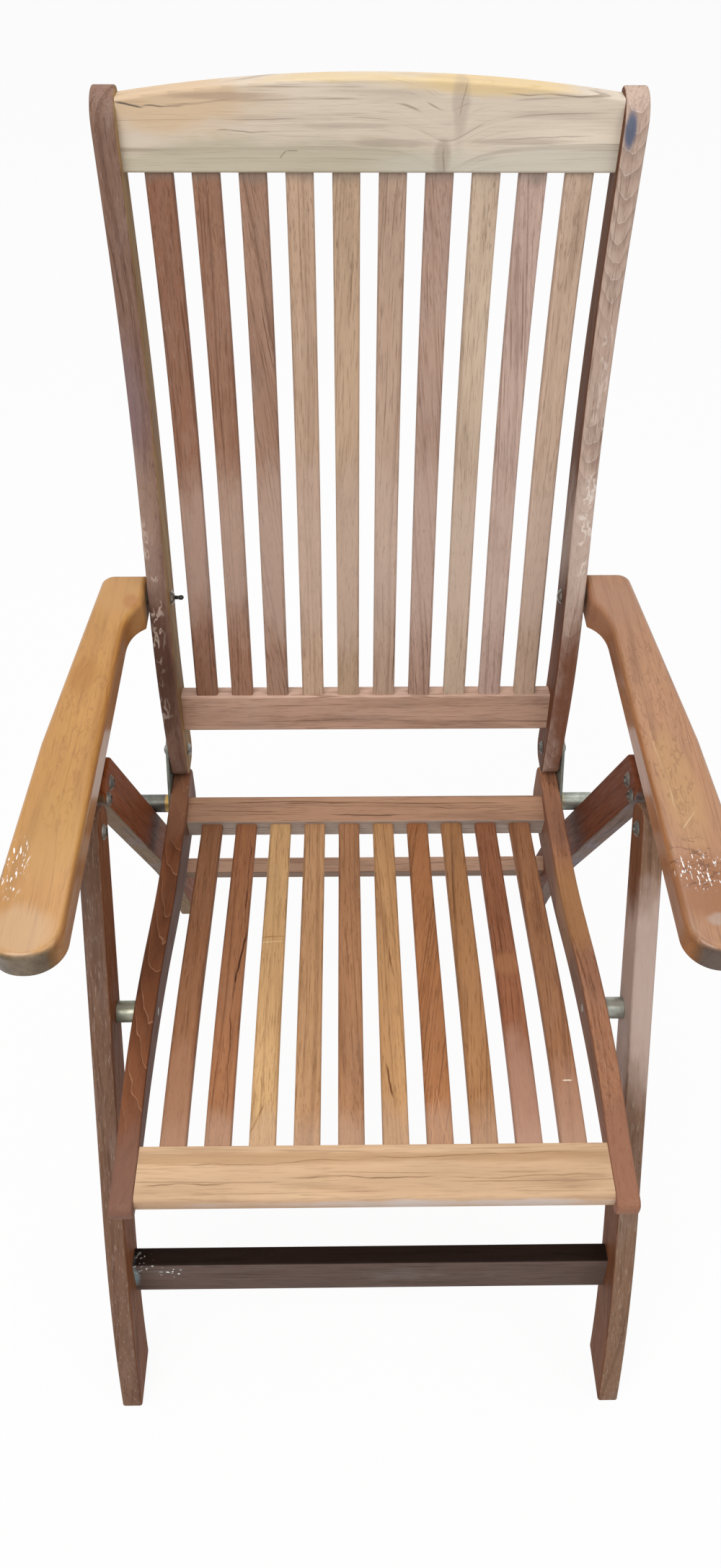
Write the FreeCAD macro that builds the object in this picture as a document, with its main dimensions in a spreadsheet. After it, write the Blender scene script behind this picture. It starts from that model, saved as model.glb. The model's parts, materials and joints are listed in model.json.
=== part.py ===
import FreeCAD, Part
import math
import os
import Sketcher

# Folding deck armchair in hardwood. Millimetres, +Z up, the front of the chair towards -Y.
# The origin is on the floor under the middle of the chair.

SIZES = [
    ("frame_half_width", 230.0, "outer face of the seat rails and back stiles"),
    ("frame_thickness", 21.0, "thickness of the seat rails and back stiles"),
    ("leg_gap", 19.0, "gap between a seat rail and a leg"),
    ("leg_thickness", 21.0, "thickness of the legs"),
    ("fit_gap", 0.3, "gap between faces that turn against each other"),
    ("wood_fit", 0.1, "gap round a tenon in its mortise"),
    ("bore_fit", 0.06, "radial clearance of a turning bolt"),
    ("tenon_length", 12.0, "how far a cross rail enters a side member"),
    ("tenon_inset", 5.0, "shoulder round a tenon"),
    ("broad_inset", 10.0, "shoulder beside the tenon of a broad board"),
    ("board_edge", 2.5, "rounding of the sawn edges"),
    ("hinge_back", 218.0, "back hinge axis behind the origin"),
    ("hinge_rise", 12.0, "back hinge axis above the front of the seat"),
    ("leg_pivot_inset", 16.85, "front leg pivot in front of the rear edge of its leg"),
    ("leg_pivot_drop", 9.0, "front leg pivot below the front of the seat"),
    ("apex_front", 48.0, "top leg pivot in front of the origin"),
    ("apex_rise", 163.0, "top leg pivot above the front of the seat"),
    ("arm_pivot_behind", 25.0, "arm pivot behind the back hinge"),
    ("arm_pivot_rise", 51.0, "arm pivot above the top leg pivot"),
    ("stile_front", 18.0, "hinge axis to the front edge of a stile"),
    ("stile_foot_width", 49.0, "width of a stile at the hinge"),
    ("stile_foot_drop", 31.0, "lower end of a stile below the hinge"),
    ("stile_toe_radius", 14.0, "rounded front corner at the lower end of a stile"),
    ("stile_heel_radius", 20.0, "rounded back corner at the lower end of a stile"),
    ("stile_straight", 60.0, "straight lower stretch of a stile above the hinge"),
    ("stile_bend_back", 25.0, "front edge at the deepest lean, behind the hinge"),
    ("stile_bend_up", 298.0, "height of the deepest lean above the hinge"),
    ("stile_bend_lean", 15.0, "deepest lean of the front edge, degrees"),
    ("stile_bend_width", 45.5, "level width of a stile at its deepest lean"),
    ("stile_back_lean", 12.6, "deepest lean of the back edge, degrees"),
    ("stile_neck_back", 61.0, "front edge at the upper end of the curve, behind the hinge"),
    ("stile_neck_width", 32.0, "width of a stile at the upper end of the curve"),
    ("stile_length", 674.0, "top of a stile above the hinge"),
    ("stile_top_radius", 26.0, "rounded front corner at the top of a stile"),
    ("stile_top_corner", 5.0, "rounded back corner at the top of a stile"),
    ("back_rail_thickness", 21.0, "thickness of the back rails"),
    ("top_rail_setback", 8.0, "top rail behind the front edge of the stiles"),
    ("top_rail_drop", 62.0, "lower edge of the top rail below the top of the stiles"),
    ("top_rail_end_height", 57.0, "height of the top rail at its ends"),
    ("top_rail_rise", 15.0, "rise of the arched upper edge"),
    ("low_rail_back", 1.0, "front face of the low rail at its upper edge, behind the hinge"),
    ("low_rail_up", 81.0, "upper edge of the low rail above the hinge"),
    ("low_rail_height", 47.0, "height of the low rail"),
    ("low_rail_lean", 7.0, "lean of the low rail, degrees"),
    ("slat_count", 10.0, "slats in the seat and in the back"),
    ("slat_width", 24.0, "width of a slat"),
    ("slat_pitch", 40.0, "spacing of the slats"),
    ("slat_thickness", 12.0, "thickness of a slat"),
    ("slat_tenon", 9.0, "length of a slat's tenon"),
    ("slat_shoulder", 2.5, "shoulder in front of and behind a slat's tenon"),
    ("slat_side_shoulder", 2.0, "shoulder at each side of a slat's tenon"),
    ("slat_edge", 2.5, "rounding of the long edges of a slat"),
    ("back_slat_inset", 3.0, "front of a back slat behind the front of its rail"),
    ("back_slat_bend_back", 39.0, "front of a back slat at its deepest lean, behind the hinge"),
    ("back_slat_bend_up", 260.0, "deepest lean of a back slat above the hinge"),
    ("back_slat_lean", 12.5, "deepest lean of a back slat, degrees"),
    ("seat_front", 339.0, "front end of a seat rail in front of the origin"),
    ("seat_end_back", 12.0, "rear end of a seat rail behind the back hinge"),
    ("seat_front_up", 418.0, "upper edge of a seat rail at the front"),
    ("seat_rear_fall", 24.0, "upper edge of a seat rail at the rear, below its front"),
    ("seat_rear_drop", 60.0, "depth of a seat rail at the rear"),
    ("seat_rise_start", 90.0, "start of the rise behind the origin"),
    ("seat_nose_drop", 20.0, "depth of a seat rail at the front"),
    ("seat_nose_radius", 8.0, "rounded front end of a seat rail"),
    ("seat_end_radius", 14.0, "rounded rear end of a seat rail"),
    ("seat_bend_front", 60.0, "steepest place of a seat rail in front of the origin"),
    ("seat_bend_fall", 2.5, "upper edge at the steepest place, below the front"),
    ("seat_bend_slope", 12.0, "slope at the steepest place, degrees"),
    ("seat_crest_rise", 11.0, "crest of a seat rail above its front"),
    ("seat_nose_flat", 5.6, "level stretch behind the nose of a seat rail"),
    ("seat_under_flat", 22.0, "level stretch of the lower edge at the rear end"),
    ("seat_under_front", 240.0, "lower edge starts to fall here, in front of the origin"),
    ("front_rail_setback", 8.0, "front rail behind the front ends of the seat rails"),
    ("front_rail_width", 52.0, "depth from front to back of the front rail"),
    ("front_rail_thickness", 19.0, "thickness of the front rail"),
    ("front_rail_round", 8.0, "rounded front edge of the front rail"),
    ("rear_rail_front", 71.0, "front edge of the rear rail in front of the back hinge"),
    ("rear_rail_drop", 49.0, "upper front edge of the rear rail below the back hinge"),
    ("rear_rail_width", 36.0, "depth from front to back of the rear rail"),
    ("rear_rail_thickness", 30.0, "thickness of the rear rail"),
    ("rear_rail_tilt", 9.0, "tilt of the rear rail, degrees"),
    ("seat_slat_drop", 1.5, "top of a seat slat below the top of its rail"),
    ("seat_slat_rear_drop", 5.5, "rear end of a seat slat below the top of the rear rail"),
    ("seat_slat_bend_fall", 13.0, "top of a seat slat at its steepest place, below the front"),
    ("seat_slat_slope", 9.0, "slope of a seat slat at its steepest place, degrees"),
    ("front_foot_front", 370.0, "front of the front feet in front of the origin"),
    ("rear_foot_reach", 121.9, "back of a rear foot behind the place where the leg bends"),
    ("foot_width", 61.0, "length of a foot on the floor"),
    ("foot_corner", 4.0, "rounded corners of a foot"),
    ("knee_up", 264.0, "where the front edge of a front leg straightens"),
    ("knee_behind", 114.0, "that place behind the toe"),
    ("heel_up", 186.0, "where the rear edge of a front leg straightens"),
    ("heel_behind", 135.0, "that place behind the toe"),
    ("leg_top_length", 22.0, "front leg beyond its top pivot"),
    ("leg_top_rear", 23.4, "top pivot to the rear edge of a front leg"),
    ("leg_top_front", 17.5, "top pivot to the front edge of a front leg"),
    ("leg_top_radius", 14.0, "rounded corners at the top of a front leg"),
    ("leg_top_lean", 29.5, "lean of the top of a front leg, degrees"),
    ("rear_leg_lean", 32.0, "lean of a rear leg, degrees"),
    ("rear_leg_width", 47.0, "width of a rear leg"),
    ("rear_leg_top_rise", 26.0, "top of a rear leg above the top pivot"),
    ("rear_leg_top_radius", 14.0, "rounded corners at the top of a rear leg"),
    ("stop_front", 30.3, "seat support in front of the back hinge"),
    ("stop_drop", 60.1, "seat support below the back hinge"),
    ("rear_knee_up", 252.0, "where a rear leg starts to bend"),
    ("rear_knee_width", 63.0, "level width of a rear leg there"),
    ("front_bar_up", 139.0, "middle of the front stretcher above the floor"),
    ("front_bar_front", 275.0, "middle of the front stretcher in front of the origin"),
    ("front_bar_tilt", 9.0, "tilt of the front stretcher, degrees"),
    ("rear_bar_up", 138.0, "middle of the rear stretcher above the floor"),
    ("rear_bar_back", 282.5, "middle of the rear stretcher behind the origin"),
    ("rear_bar_tilt", 30.0, "tilt of the rear stretcher, degrees"),
    ("bar_height", 48.0, "height of the front stretcher"),
    ("rear_bar_height", 40.0, "height of the rear stretcher"),
    ("bar_thickness", 21.0, "thickness of the stretchers"),
    ("plate_thickness", 3.0, "thickness of the steel plates"),
    ("hinge_plate_radius", 17.0, "rounded ends of a hinge plate"),
    ("apex_plate_radius", 16.0, "rounded ends of a top plate"),
    ("tube_radius", 10.7, "outer radius of the steel tubes"),
    ("bolt_radius", 4.0, "radius of the bolts"),
    ("head_radius", 8.0, "radius of the domed bolt heads"),
    ("head_height", 4.0, "height of the domed bolt heads"),
    ("nut_height", 3.2, "height of the domed nuts"),
    ("bolt_end", 2.0, "bolt beyond the seat of its nut"),
    ("stop_pin_radius", 5.0, "radius of the pins that carry the arms"),
    ("stop_pin_length", 18.0, "length of those pins beyond their plate"),
    ("plate_bolt_spread", 20.0, "spacing of the two bolts of a top plate"),
    ("plate_bolt_beyond", 5.0, "far bolt of a top plate beyond the middle of a rear leg"),
    ("plate_rise", 5.5, "rise of a top plate towards the rear, degrees"),
    ("stop_pin_behind", 51.0, "pins that carry the arms, behind the top leg pivot"),
    ("arm_slope", 0.8, "slope of the arms, degrees"),
    ("arm_thickness", 26.0, "thickness of an arm"),
    ("arm_block_depth", 10.0, "thick rear end of an arm, below the rest of it"),
    ("arm_block_length", 38.0, "thick rear end in front of the pivot"),
    ("arm_block_rise", 48.0, "length over which the thick end rises into the arm"),
    ("arm_cut_margin", 10.0, "clearance of the cut under an arm"),
    ("arm_block_corner", 9.0, "rounded corner where the scoop starts"),
    ("arm_above_pivot", 24.0, "upper face of an arm above its pivot"),
    ("arm_length", 482.0, "arm from its pivot to its front end"),
    ("arm_tail", 9.0, "rear end of an arm behind its pivot"),
    ("arm_inner", 247.0, "inner edge of an arm from the middle of the chair"),
    ("arm_washer", 2.4, "thickness of the washer between a stile and an arm"),
    ("arm_tail_width", 46.0, "width of an arm at its rear end"),
    ("arm_outer_mid", 302.0, "outer edge half way along"),
    ("arm_outer_front", 310.0, "outer edge near the front"),
    ("arm_mid_front", 243.0, "that middle place in front of the pivot"),
    ("arm_shoulder_front", 430.0, "widest place in front of the pivot"),
    ("arm_bolt_depth", 30.0, "how far the pivot bolt enters an arm"),
    ("arm_scoop_start", 38.0, "start of the scoop in front of the pivot"),
    ("arm_scoop_end", 90.0, "end of the scoop in front of the pivot"),
    ("arm_tip_radius", 30.0, "rounding of the front end of an arm"),
    ("arm_tail_radius", 14.0, "rounding of the rear outer corner of an arm"),
    ("arm_edge", 6.0, "rounding of an arm's upper edges"),
    ("rack_height", 24.0, "height of the notched strip under an arm"),
    ("rack_width", 15.0, "width of the notched strip"),
    ("rack_inner", 274.0, "inner face of the notched strip from the middle"),
    ("rack_notch_pitch", 27.0, "spacing of the notches"),
    ("rack_margin", 16.0, "wood beyond the first and last notch"),
    ("notch_count", 5.0, "notches in a strip"),
]


class Size:
    """A length or angle: its present value and the expression that ties it to the sheet."""

    def __init__(self, value, text):
        self.value = value
        self.text = text

    def __add__(self, other):
        other = as_size(other)
        return Size(self.value + other.value, f"({self.text} + {other.text})")

    def __sub__(self, other):
        other = as_size(other)
        return Size(self.value - other.value, f"({self.text} - {other.text})")

    def __mul__(self, other):
        other = as_size(other)
        return Size(self.value * other.value, f"({self.text} * {other.text})")

    def __truediv__(self, other):
        other = as_size(other)
        return Size(self.value / other.value, f"({self.text} / {other.text})")

    def __neg__(self):
        return Size(-self.value, f"(0 - {self.text})")

    def __rsub__(self, other):
        return as_size(other) - self

    __radd__ = __add__
    __rmul__ = __mul__


def as_size(number):
    return number if isinstance(number, Size) else Size(float(number), f"({number})")


def root(size):
    return Size(math.sqrt(size.value), f"sqrt({size.text})")


def sine(angle):
    return Size(math.sin(math.radians(angle.value)), f"sin({angle.text} * 1 deg)")


def cosine(angle):
    return Size(math.cos(math.radians(angle.value)), f"cos({angle.text} * 1 deg)")


def tangent(angle):
    return sine(angle) / cosine(angle)


def arc_angle(rise, run):
    value = math.degrees(math.atan(rise.value / run.value))
    return Size(value, f"(atan({rise.text} / {run.text}) / 1 deg)")


doc = FreeCAD.newDocument("deck_chair")
sheet = doc.addObject("Spreadsheet::Sheet", "Sizes")
S = {}
for row, (alias, number, meaning) in enumerate(SIZES, start=1):
    sheet.set(f"A{row}", meaning)
    sheet.set(f"B{row}", str(number))
    sheet.setAlias(f"B{row}", alias)
    S[alias] = Size(float(number), f"Sizes.{alias}")
doc.recompute()

ZERO = as_size(0)
made = []


def bind(item, field, size):
    item.setExpression(field, size.text)


def plane(body, role):
    return next(part for part in body.Origin.OriginFeatures if part.Role == role)


def new_body(label, across=ZERO, along=ZERO, up=ZERO, turn=None):
    """A piece whose own origin is at the given place; turn leans it about the X axis."""
    body = doc.addObject("PartDesign::Body", label)
    body.Label = label
    body.Placement = FreeCAD.Placement()
    if turn is not None:
        body.Placement.Rotation = FreeCAD.Rotation(FreeCAD.Vector(1, 0, 0), 1.0)
        bind(body, "Placement.Rotation.Angle", turn)
    bind(body, "Placement.Base.x", across)
    bind(body, "Placement.Base.y", along)
    bind(body, "Placement.Base.z", up)
    return body


def keep(item):
    made.append(item)
    return item


def new_sketch(body, role, name):
    sketch = body.newObject("Sketcher::SketchObject", name)
    sketch.AttachmentSupport = [(plane(body, role), "")]
    sketch.MapMode = "FlatFace"
    return sketch


def constrain(sketch, kind, members, size):
    index = sketch.addConstraint(Sketcher.Constraint(kind, *members, size.value))
    sketch.setExpression(f"Constraints[{index}]", size.text)


def arc_centre(start, end, radius, left):
    """Centre of the shorter arc between two points; left says on which side of the way it lies."""
    middle = (start + end) * 0.5
    half = (end - start).Length / 2
    way = (end - start).normalize()
    side = FreeCAD.Vector(-way.y, way.x, 0) * (1 if left else -1)
    return middle + side * math.sqrt(max(radius * radius - half * half, 0.0))


def draw_outline(sketch, corners):
    """A closed outline. Each corner is (x, y) or (x, y, radius of the arc to the next corner).

    A positive radius has its centre on the left of the way, a negative one on the right.
    """
    points = [FreeCAD.Vector(corner[0].value, corner[1].value, 0) for corner in corners]
    first = sketch.GeometryCount
    for index, corner in enumerate(corners):
        start = points[index]
        end = points[(index + 1) % len(points)]
        if len(corner) == 2:
            sketch.addGeometry(Part.LineSegment(start, end), False)
            continue
        radius = corner[2].value
        centre = arc_centre(start, end, abs(radius), radius > 0)
        circle = Part.Circle(centre, FreeCAD.Vector(0, 0, 1), abs(radius))
        from_angle = math.atan2(start.y - centre.y, start.x - centre.x)
        to_angle = math.atan2(end.y - centre.y, end.x - centre.x)
        if radius < 0:
            from_angle, to_angle = to_angle, from_angle
        sketch.addGeometry(Part.ArcOfCircle(circle, from_angle, to_angle), False)
    for index, corner in enumerate(corners):
        here = first + index
        after = first + (index + 1) % len(corners)
        backwards = len(corner) == 3 and corner[2].value < 0
        next_corner = corners[(index + 1) % len(corners)]
        next_backwards = len(next_corner) == 3 and next_corner[2].value < 0
        end_mark = 1 if backwards else 2
        start_mark = 2 if next_backwards else 1
        sketch.addConstraint(Sketcher.Constraint("Coincident", here, end_mark, after, start_mark))
        own_start = 2 if backwards else 1
        constrain(sketch, "DistanceX", (-1, 1, here, own_start), corner[0])
        constrain(sketch, "DistanceY", (-1, 1, here, own_start), corner[1])
        if len(corner) == 3:
            size = corner[2] if corner[2].value > 0 else -corner[2]
            constrain(sketch, "Radius", (here,), size)


def draw_circle(sketch, x, y, radius):
    index = sketch.addGeometry(
        Part.Circle(FreeCAD.Vector(x.value, y.value, 0), FreeCAD.Vector(0, 0, 1), radius.value), False
    )
    constrain(sketch, "DistanceX", (-1, 1, index, 3), x)
    constrain(sketch, "DistanceY", (-1, 1, index, 3), y)
    constrain(sketch, "Radius", (index,), radius)


def draw_box(sketch, middle_x, middle_y, width, height, tilt=None):
    """A rectangle about a middle point, turned by tilt degrees."""
    tilt = tilt or ZERO
    corners = []
    for along, across in ((-1, -1), (1, -1), (1, 1), (-1, 1)):
        out = width * (along / 2)
        up = height * (across / 2)
        x = middle_x + out * cosine(tilt) - up * sine(tilt)
        y = middle_y + out * sine(tilt) + up * cosine(tilt)
        corners.append((x, y))
    draw_outline(sketch, corners)


def pad(body, sketch, length, towards_plus=True):
    feature = body.newObject("PartDesign::Pad", "Pad")
    feature.Profile = (sketch, [""])
    bind(feature, "Length", length)
    feature.Reversed = not towards_plus
    doc.recompute()
    return feature


def pocket(body, sketch, length, towards_plus=True):
    before = body.Shape.Volume
    feature = body.newObject("PartDesign::Pocket", "Pocket")
    feature.Profile = (sketch, [""])
    bind(feature, "Length", length)
    feature.Reversed = towards_plus
    doc.recompute()
    assert body.Shape.Volume < before, f"{body.Label}: the pocket {sketch.Label} cuts nothing"
    return feature


def round_edges(body, radius, wanted):
    """Rounds the edges of the body's last feature for which wanted(edge) is true."""
    base = body.Tip
    names = [f"Edge{n}" for n, edge in enumerate(base.Shape.Edges, start=1) if wanted(edge)]
    feature = body.newObject("PartDesign::Fillet", "Fillet")
    feature.Base = (base, names)
    bind(feature, "Radius", radius)
    doc.recompute()
    sound = feature.Shape.isValid() and 0 < feature.Shape.Volume < base.Shape.Volume * 1.001
    assert sound, f"{body.Label}: the rounding failed"
    return feature


def in_plane_x(edge, places):
    """Whether an edge lies wholly in one of the given planes square to X."""
    box = edge.BoundBox
    return any(abs(box.XMin - x) < 0.01 and abs(box.XMax - x) < 0.01 for x in places)


def is_circle(edge):
    return isinstance(edge.Curve, Part.Circle) and edge.isClosed()


def swing_radius(start, end, lean):
    """Radius of the arc between two points of a line that leans by lean degrees at one of them.

    Leans are measured from the up direction for standing pieces.
    """
    run = end[0] - start[0]
    rise = end[1] - start[1]
    chord = root(run * run + rise * rise)
    return chord / (2 * sine(lean - arc_angle(run, rise)))


def slope_radius(start, end, slope):
    """The same for lying pieces, whose slope is measured from the level."""
    run = start[0] - end[0]
    rise = end[1] - start[1]
    chord = root(run * run + rise * rise)
    return chord / (2 * sine(slope - arc_angle(rise, run)))


def ease(across, along, angle):
    """Radius of the arc that leaves a straight line and has turned by angle before a point.

    The point lies at along on that line and at across beside it.
    """
    return (along - across / tangent(angle)) / tangent(angle / 2)


inner_face = S["frame_half_width"] - S["frame_thickness"]
leg_inner = S["frame_half_width"] + S["leg_gap"]
leg_outer = leg_inner + S["leg_thickness"]
bore = S["bolt_radius"] + S["bore_fit"]
SIDES = (("left", -1), ("right", 1))


def side_board(label, side, inner, thickness, corners, along, up):
    """An upright board cut to an outline, on the left or right, with its inner face at inner."""
    body = new_body(label, inner * side, along, up)
    sketch = new_sketch(body, "YZ_Plane", "Outline")
    draw_outline(sketch, corners)
    pad(body, sketch, thickness, side > 0)
    return body


def round_corner(body, radius, along, height):
    """Rounds the corner of a board's outline at the given place."""
    round_edges(
        body,
        radius,
        lambda edge: edge.BoundBox.XLength > 10
        and abs(edge.BoundBox.ZMin - height.value) < 0.1
        and abs(edge.BoundBox.YMin - along.value) < 0.1,
    )


def round_board(body, thickness, side):
    faces = (0.0, thickness.value * side)
    round_edges(
        body,
        S["board_edge"],
        lambda edge: in_plane_x(edge, faces) and not is_circle(edge) and edge.Length > 2.0,
    )


def side_holes(body, side, depth, circles):
    sketch = new_sketch(body, "YZ_Plane", "Bores")
    for x, y, radius in circles:
        draw_circle(sketch, x, y, radius)
    pocket(body, sketch, depth, side > 0)


def side_mortises(body, side, boxes):
    sketch = new_sketch(body, "YZ_Plane", "Mortises")
    for x, y, width, height, tilt in boxes:
        grown = 2 * S["wood_fit"]
        draw_box(sketch, x, y, width + grown, height + grown, tilt)
    pocket(body, sketch, S["tenon_length"] + S["wood_fit"], side > 0)


def cross_board(label, half_width, corners, along, up):
    """A board that crosses the chair, cut to an outline seen from the side."""
    body = new_body(label, -half_width, along, up)
    sketch = new_sketch(body, "YZ_Plane", "Outline")
    draw_outline(sketch, corners)
    pad(body, sketch, half_width * 2)
    return body


def cross_tenons(body, half_width, boxes):
    """Tenons at both ends of a cross board, each box (x, y, width, height, tilt)."""
    for towards_plus, start in ((False, ZERO), (True, half_width * 2)):
        sketch = new_sketch(body, "YZ_Plane", "Tenon")
        bind(sketch, "AttachmentOffset.Base.z", start)
        for x, y, width, height, tilt in boxes:
            draw_box(sketch, x, y, width, height, tilt)
        pad(body, sketch, S["tenon_length"], towards_plus)


def slat_places():
    count = int(S["slat_count"].value)
    return [S["slat_pitch"] * (index - (count - 1) / 2) for index in range(count)]


def stadium(start, end, radius):
    """Outline of a flat bar with round ends about two points."""
    run = end[0] - start[0]
    rise = end[1] - start[1]
    length = root(run * run + rise * rise)
    along = (run / length * radius, rise / length * radius)
    across = (-along[1], along[0])
    return [
        (start[0] + across[0], start[1] + across[1], radius),
        (start[0] - along[0], start[1] - along[1], radius),
        (start[0] - across[0], start[1] - across[1]),
        (end[0] - across[0], end[1] - across[1], radius),
        (end[0] + along[0], end[1] + along[1], radius),
        (end[0] + across[0], end[1] + across[1]),
    ]


def turned_piece(label, across, along, up, profile, turn=None):
    """A piece turned about an axis that runs across the chair; profile is (x, radius, arc)."""
    body = new_body(label, across, along, up, turn)
    sketch = new_sketch(body, "XY_Plane", "Profile")
    draw_outline(sketch, profile)
    feature = body.newObject("PartDesign::Revolution", "Revolution")
    feature.Profile = (sketch, [""])
    feature.ReferenceAxis = (sketch, ["H_Axis"])
    feature.Angle = 360.0
    doc.recompute()
    return body


def dome_radius(radius, height):
    return (radius * radius + height * height) / (height * 2)


def bolt(label, side, face, along, up, length, radius=None, turn=None):
    """A bolt with a domed head on the face at that distance from the middle, shank inwards."""
    radius = radius or S["bolt_radius"]
    dome = dome_radius(S["head_radius"], S["head_height"])
    profile = [
        (S["head_height"] * side, ZERO, dome * side),
        (ZERO, S["head_radius"]),
        (ZERO, radius),
        (-length * side, radius),
        (-length * side, ZERO),
    ]
    return turned_piece(label, face * side, along, up, profile, turn)


def ring(label, side, start, length, along, up, inner, outer, turn=None):
    """A tube, nut or washer from start outwards."""
    profile = [
        (ZERO, inner),
        (length * side, inner),
        (length * side, outer),
        (ZERO, outer),
    ]
    return turned_piece(label, start * side, along, up, profile, turn)


def dome_nut(label, side, face, along, up):
    """A domed nut on the inner face of a side member, its crown towards the middle."""
    dome = dome_radius(S["head_radius"], S["head_height"])
    profile = [
        (ZERO, S["bolt_radius"]),
        (ZERO, S["head_radius"], dome * side),
        (-S["nut_height"] * side, S["bolt_radius"]),
    ]
    return turned_piece(label, face * side, along, up, profile)


def group(label, members):
    """Like fasteners that share one node, each a separate solid."""
    compound = doc.addObject("Part::Compound", label)
    compound.Label = label
    compound.Links = members
    return keep(compound)


# Places that several pieces share
seat_up = S["seat_front_up"]
hinge = (S["hinge_back"], seat_up + S["hinge_rise"])
apex = (-S["apex_front"], seat_up + S["apex_rise"])
arm_pivot = (hinge[0] + S["arm_pivot_behind"], apex[1] + S["arm_pivot_rise"])


def from_top(along, across):
    """A place at the top of a front leg, from its pivot."""
    angle = S["leg_top_lean"]
    return (
        apex[0] + along * sine(angle) + across * cosine(angle),
        apex[1] + along * cosine(angle) - across * sine(angle),
    )


heel = (S["heel_behind"] - S["front_foot_front"], S["heel_up"])
knee = (S["knee_behind"] - S["front_foot_front"], S["knee_up"])
top_rear = from_top(S["leg_top_length"], S["leg_top_rear"])
top_front = from_top(S["leg_top_length"], -S["leg_top_front"])
heel_lean = arc_angle(top_rear[0] - heel[0], top_rear[1] - heel[1])
knee_lean = arc_angle(top_front[0] - knee[0], top_front[1] - knee[1])
leg_pivot_up = seat_up - S["leg_pivot_drop"]
leg_pivot = (heel[0] + (leg_pivot_up - heel[1]) * tangent(heel_lean) - S["leg_pivot_inset"], leg_pivot_up)

# The rear legs lie against the support tubes of the seat
lean = S["rear_leg_lean"]
stop = (hinge[0] - S["stop_front"], hinge[1] - S["stop_drop"])
stop_across = (stop[0] - apex[0]) * cosine(lean) + (stop[1] - apex[1]) * sine(lean)
rear_leg_edge = stop_across - S["tube_radius"] - S["fit_gap"]
rear_leg_middle = rear_leg_edge - S["rear_leg_width"] / 2


def apex_bolt(distance):
    return (apex[0] + distance * cosine(S["plate_rise"]), apex[1] + distance * sine(S["plate_rise"]))


plate_reach = rear_leg_middle + S["plate_bolt_beyond"]
far_bolt = apex_bolt(plate_reach)
near_bolt = apex_bolt(plate_reach - S["plate_bolt_spread"])
arm_under = S["arm_thickness"] - S["arm_above_pivot"]
pin_drop = arm_under + S["rack_height"] + S["fit_gap"] + S["stop_pin_radius"]
pin_level = (apex[0] + S["stop_pin_behind"] - arm_pivot[0]) / cosine(S["arm_slope"])
pin_along = pin_level - pin_drop * tangent(S["arm_slope"])
stop_pin = (
    arm_pivot[0] + pin_along * cosine(S["arm_slope"]) + pin_drop * sine(S["arm_slope"]),
    arm_pivot[1] + pin_along * sine(S["arm_slope"]) - pin_drop * cosine(S["arm_slope"]),
)


# Seat

seat_end = hinge[0] + S["seat_end_back"]
seat_rear_up = seat_up - S["seat_rear_fall"]
seat_low = seat_rear_up - S["seat_rear_drop"]
nose = S["seat_nose_radius"]
nose_back = -(S["seat_front"] - nose)
nose_under_up = seat_up - S["seat_nose_drop"]


def level_ease(start, bend, angle):
    """From a level edge at start to a straight slope through bend: arc radius and its end."""
    run = start[0] - bend[0]
    rise = bend[1] - start[1]
    radius = ease(rise, run, angle)
    return radius, (start[0] - radius * sine(angle), start[1] + radius * (1 - cosine(angle)))


def between_levels(start, end):
    """Two equal arcs from a level edge at start to a level edge at end: radius and middle."""
    run = end[0] - start[0]
    fall = start[1] - end[1]
    return (run * run + fall * fall) / (fall * 4), (start[0] + run / 2, start[1] - fall / 2)


rise_slope = S["seat_bend_slope"]
rise_start = (S["seat_rise_start"], seat_rear_up)
rise_bend = (-S["seat_bend_front"], seat_up - S["seat_bend_fall"])
rise_radius, rise_end = level_ease(rise_start, rise_bend, rise_slope)
crest_up = seat_up + S["seat_crest_rise"]
crest_radius = (crest_up - rise_bend[1]) / (1 - cosine(rise_slope))
crest = (rise_bend[0] - crest_radius * sine(rise_slope), crest_up)
fall_end = (nose_back + S["seat_nose_flat"], seat_up)
fall_radius, fall_middle = between_levels(crest, fall_end)
under_start = (-S["seat_under_front"], nose_under_up)
under_end = (seat_end - S["seat_under_flat"], seat_low)
under_radius, under_middle = between_levels(under_start, under_end)
seat_outline = [
    (seat_end - S["seat_end_radius"], seat_rear_up),
    (*rise_start, -rise_radius),
    rise_end,
    (*rise_bend, crest_radius),
    (*crest, fall_radius),
    (*fall_middle, -fall_radius),
    fall_end,
    (nose_back, seat_up, nose),
    (-S["seat_front"], seat_up - nose),
    (-S["seat_front"], nose_under_up + nose, nose),
    (nose_back, nose_under_up),
    (*under_start, -under_radius),
    (*under_middle, under_radius),
    under_end,
    (seat_end - S["seat_end_radius"], seat_low, S["seat_end_radius"]),
    (seat_end, seat_low + S["seat_end_radius"]),
    (seat_end, seat_rear_up - S["seat_end_radius"], S["seat_end_radius"]),
]

# The front rail lies level; its upper rear edge is where the seat slats end
front_rail_front = -(S["seat_front"] - S["front_rail_setback"])
front_rail_back = front_rail_front + S["front_rail_width"]
front_rail_mid = (
    front_rail_front + S["front_rail_width"] / 2,
    seat_up - S["front_rail_thickness"] / 2,
)
# The rear rail hangs from its upper front corner and rises towards the rear
rear_rail_corner = (hinge[0] - S["rear_rail_front"], hinge[1] - S["rear_rail_drop"])


def from_rear_corner(back, down):
    tilt = S["rear_rail_tilt"]
    return (
        rear_rail_corner[0] + back * cosine(tilt) + down * sine(tilt),
        rear_rail_corner[1] + back * sine(tilt) - down * cosine(tilt),
    )


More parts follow.
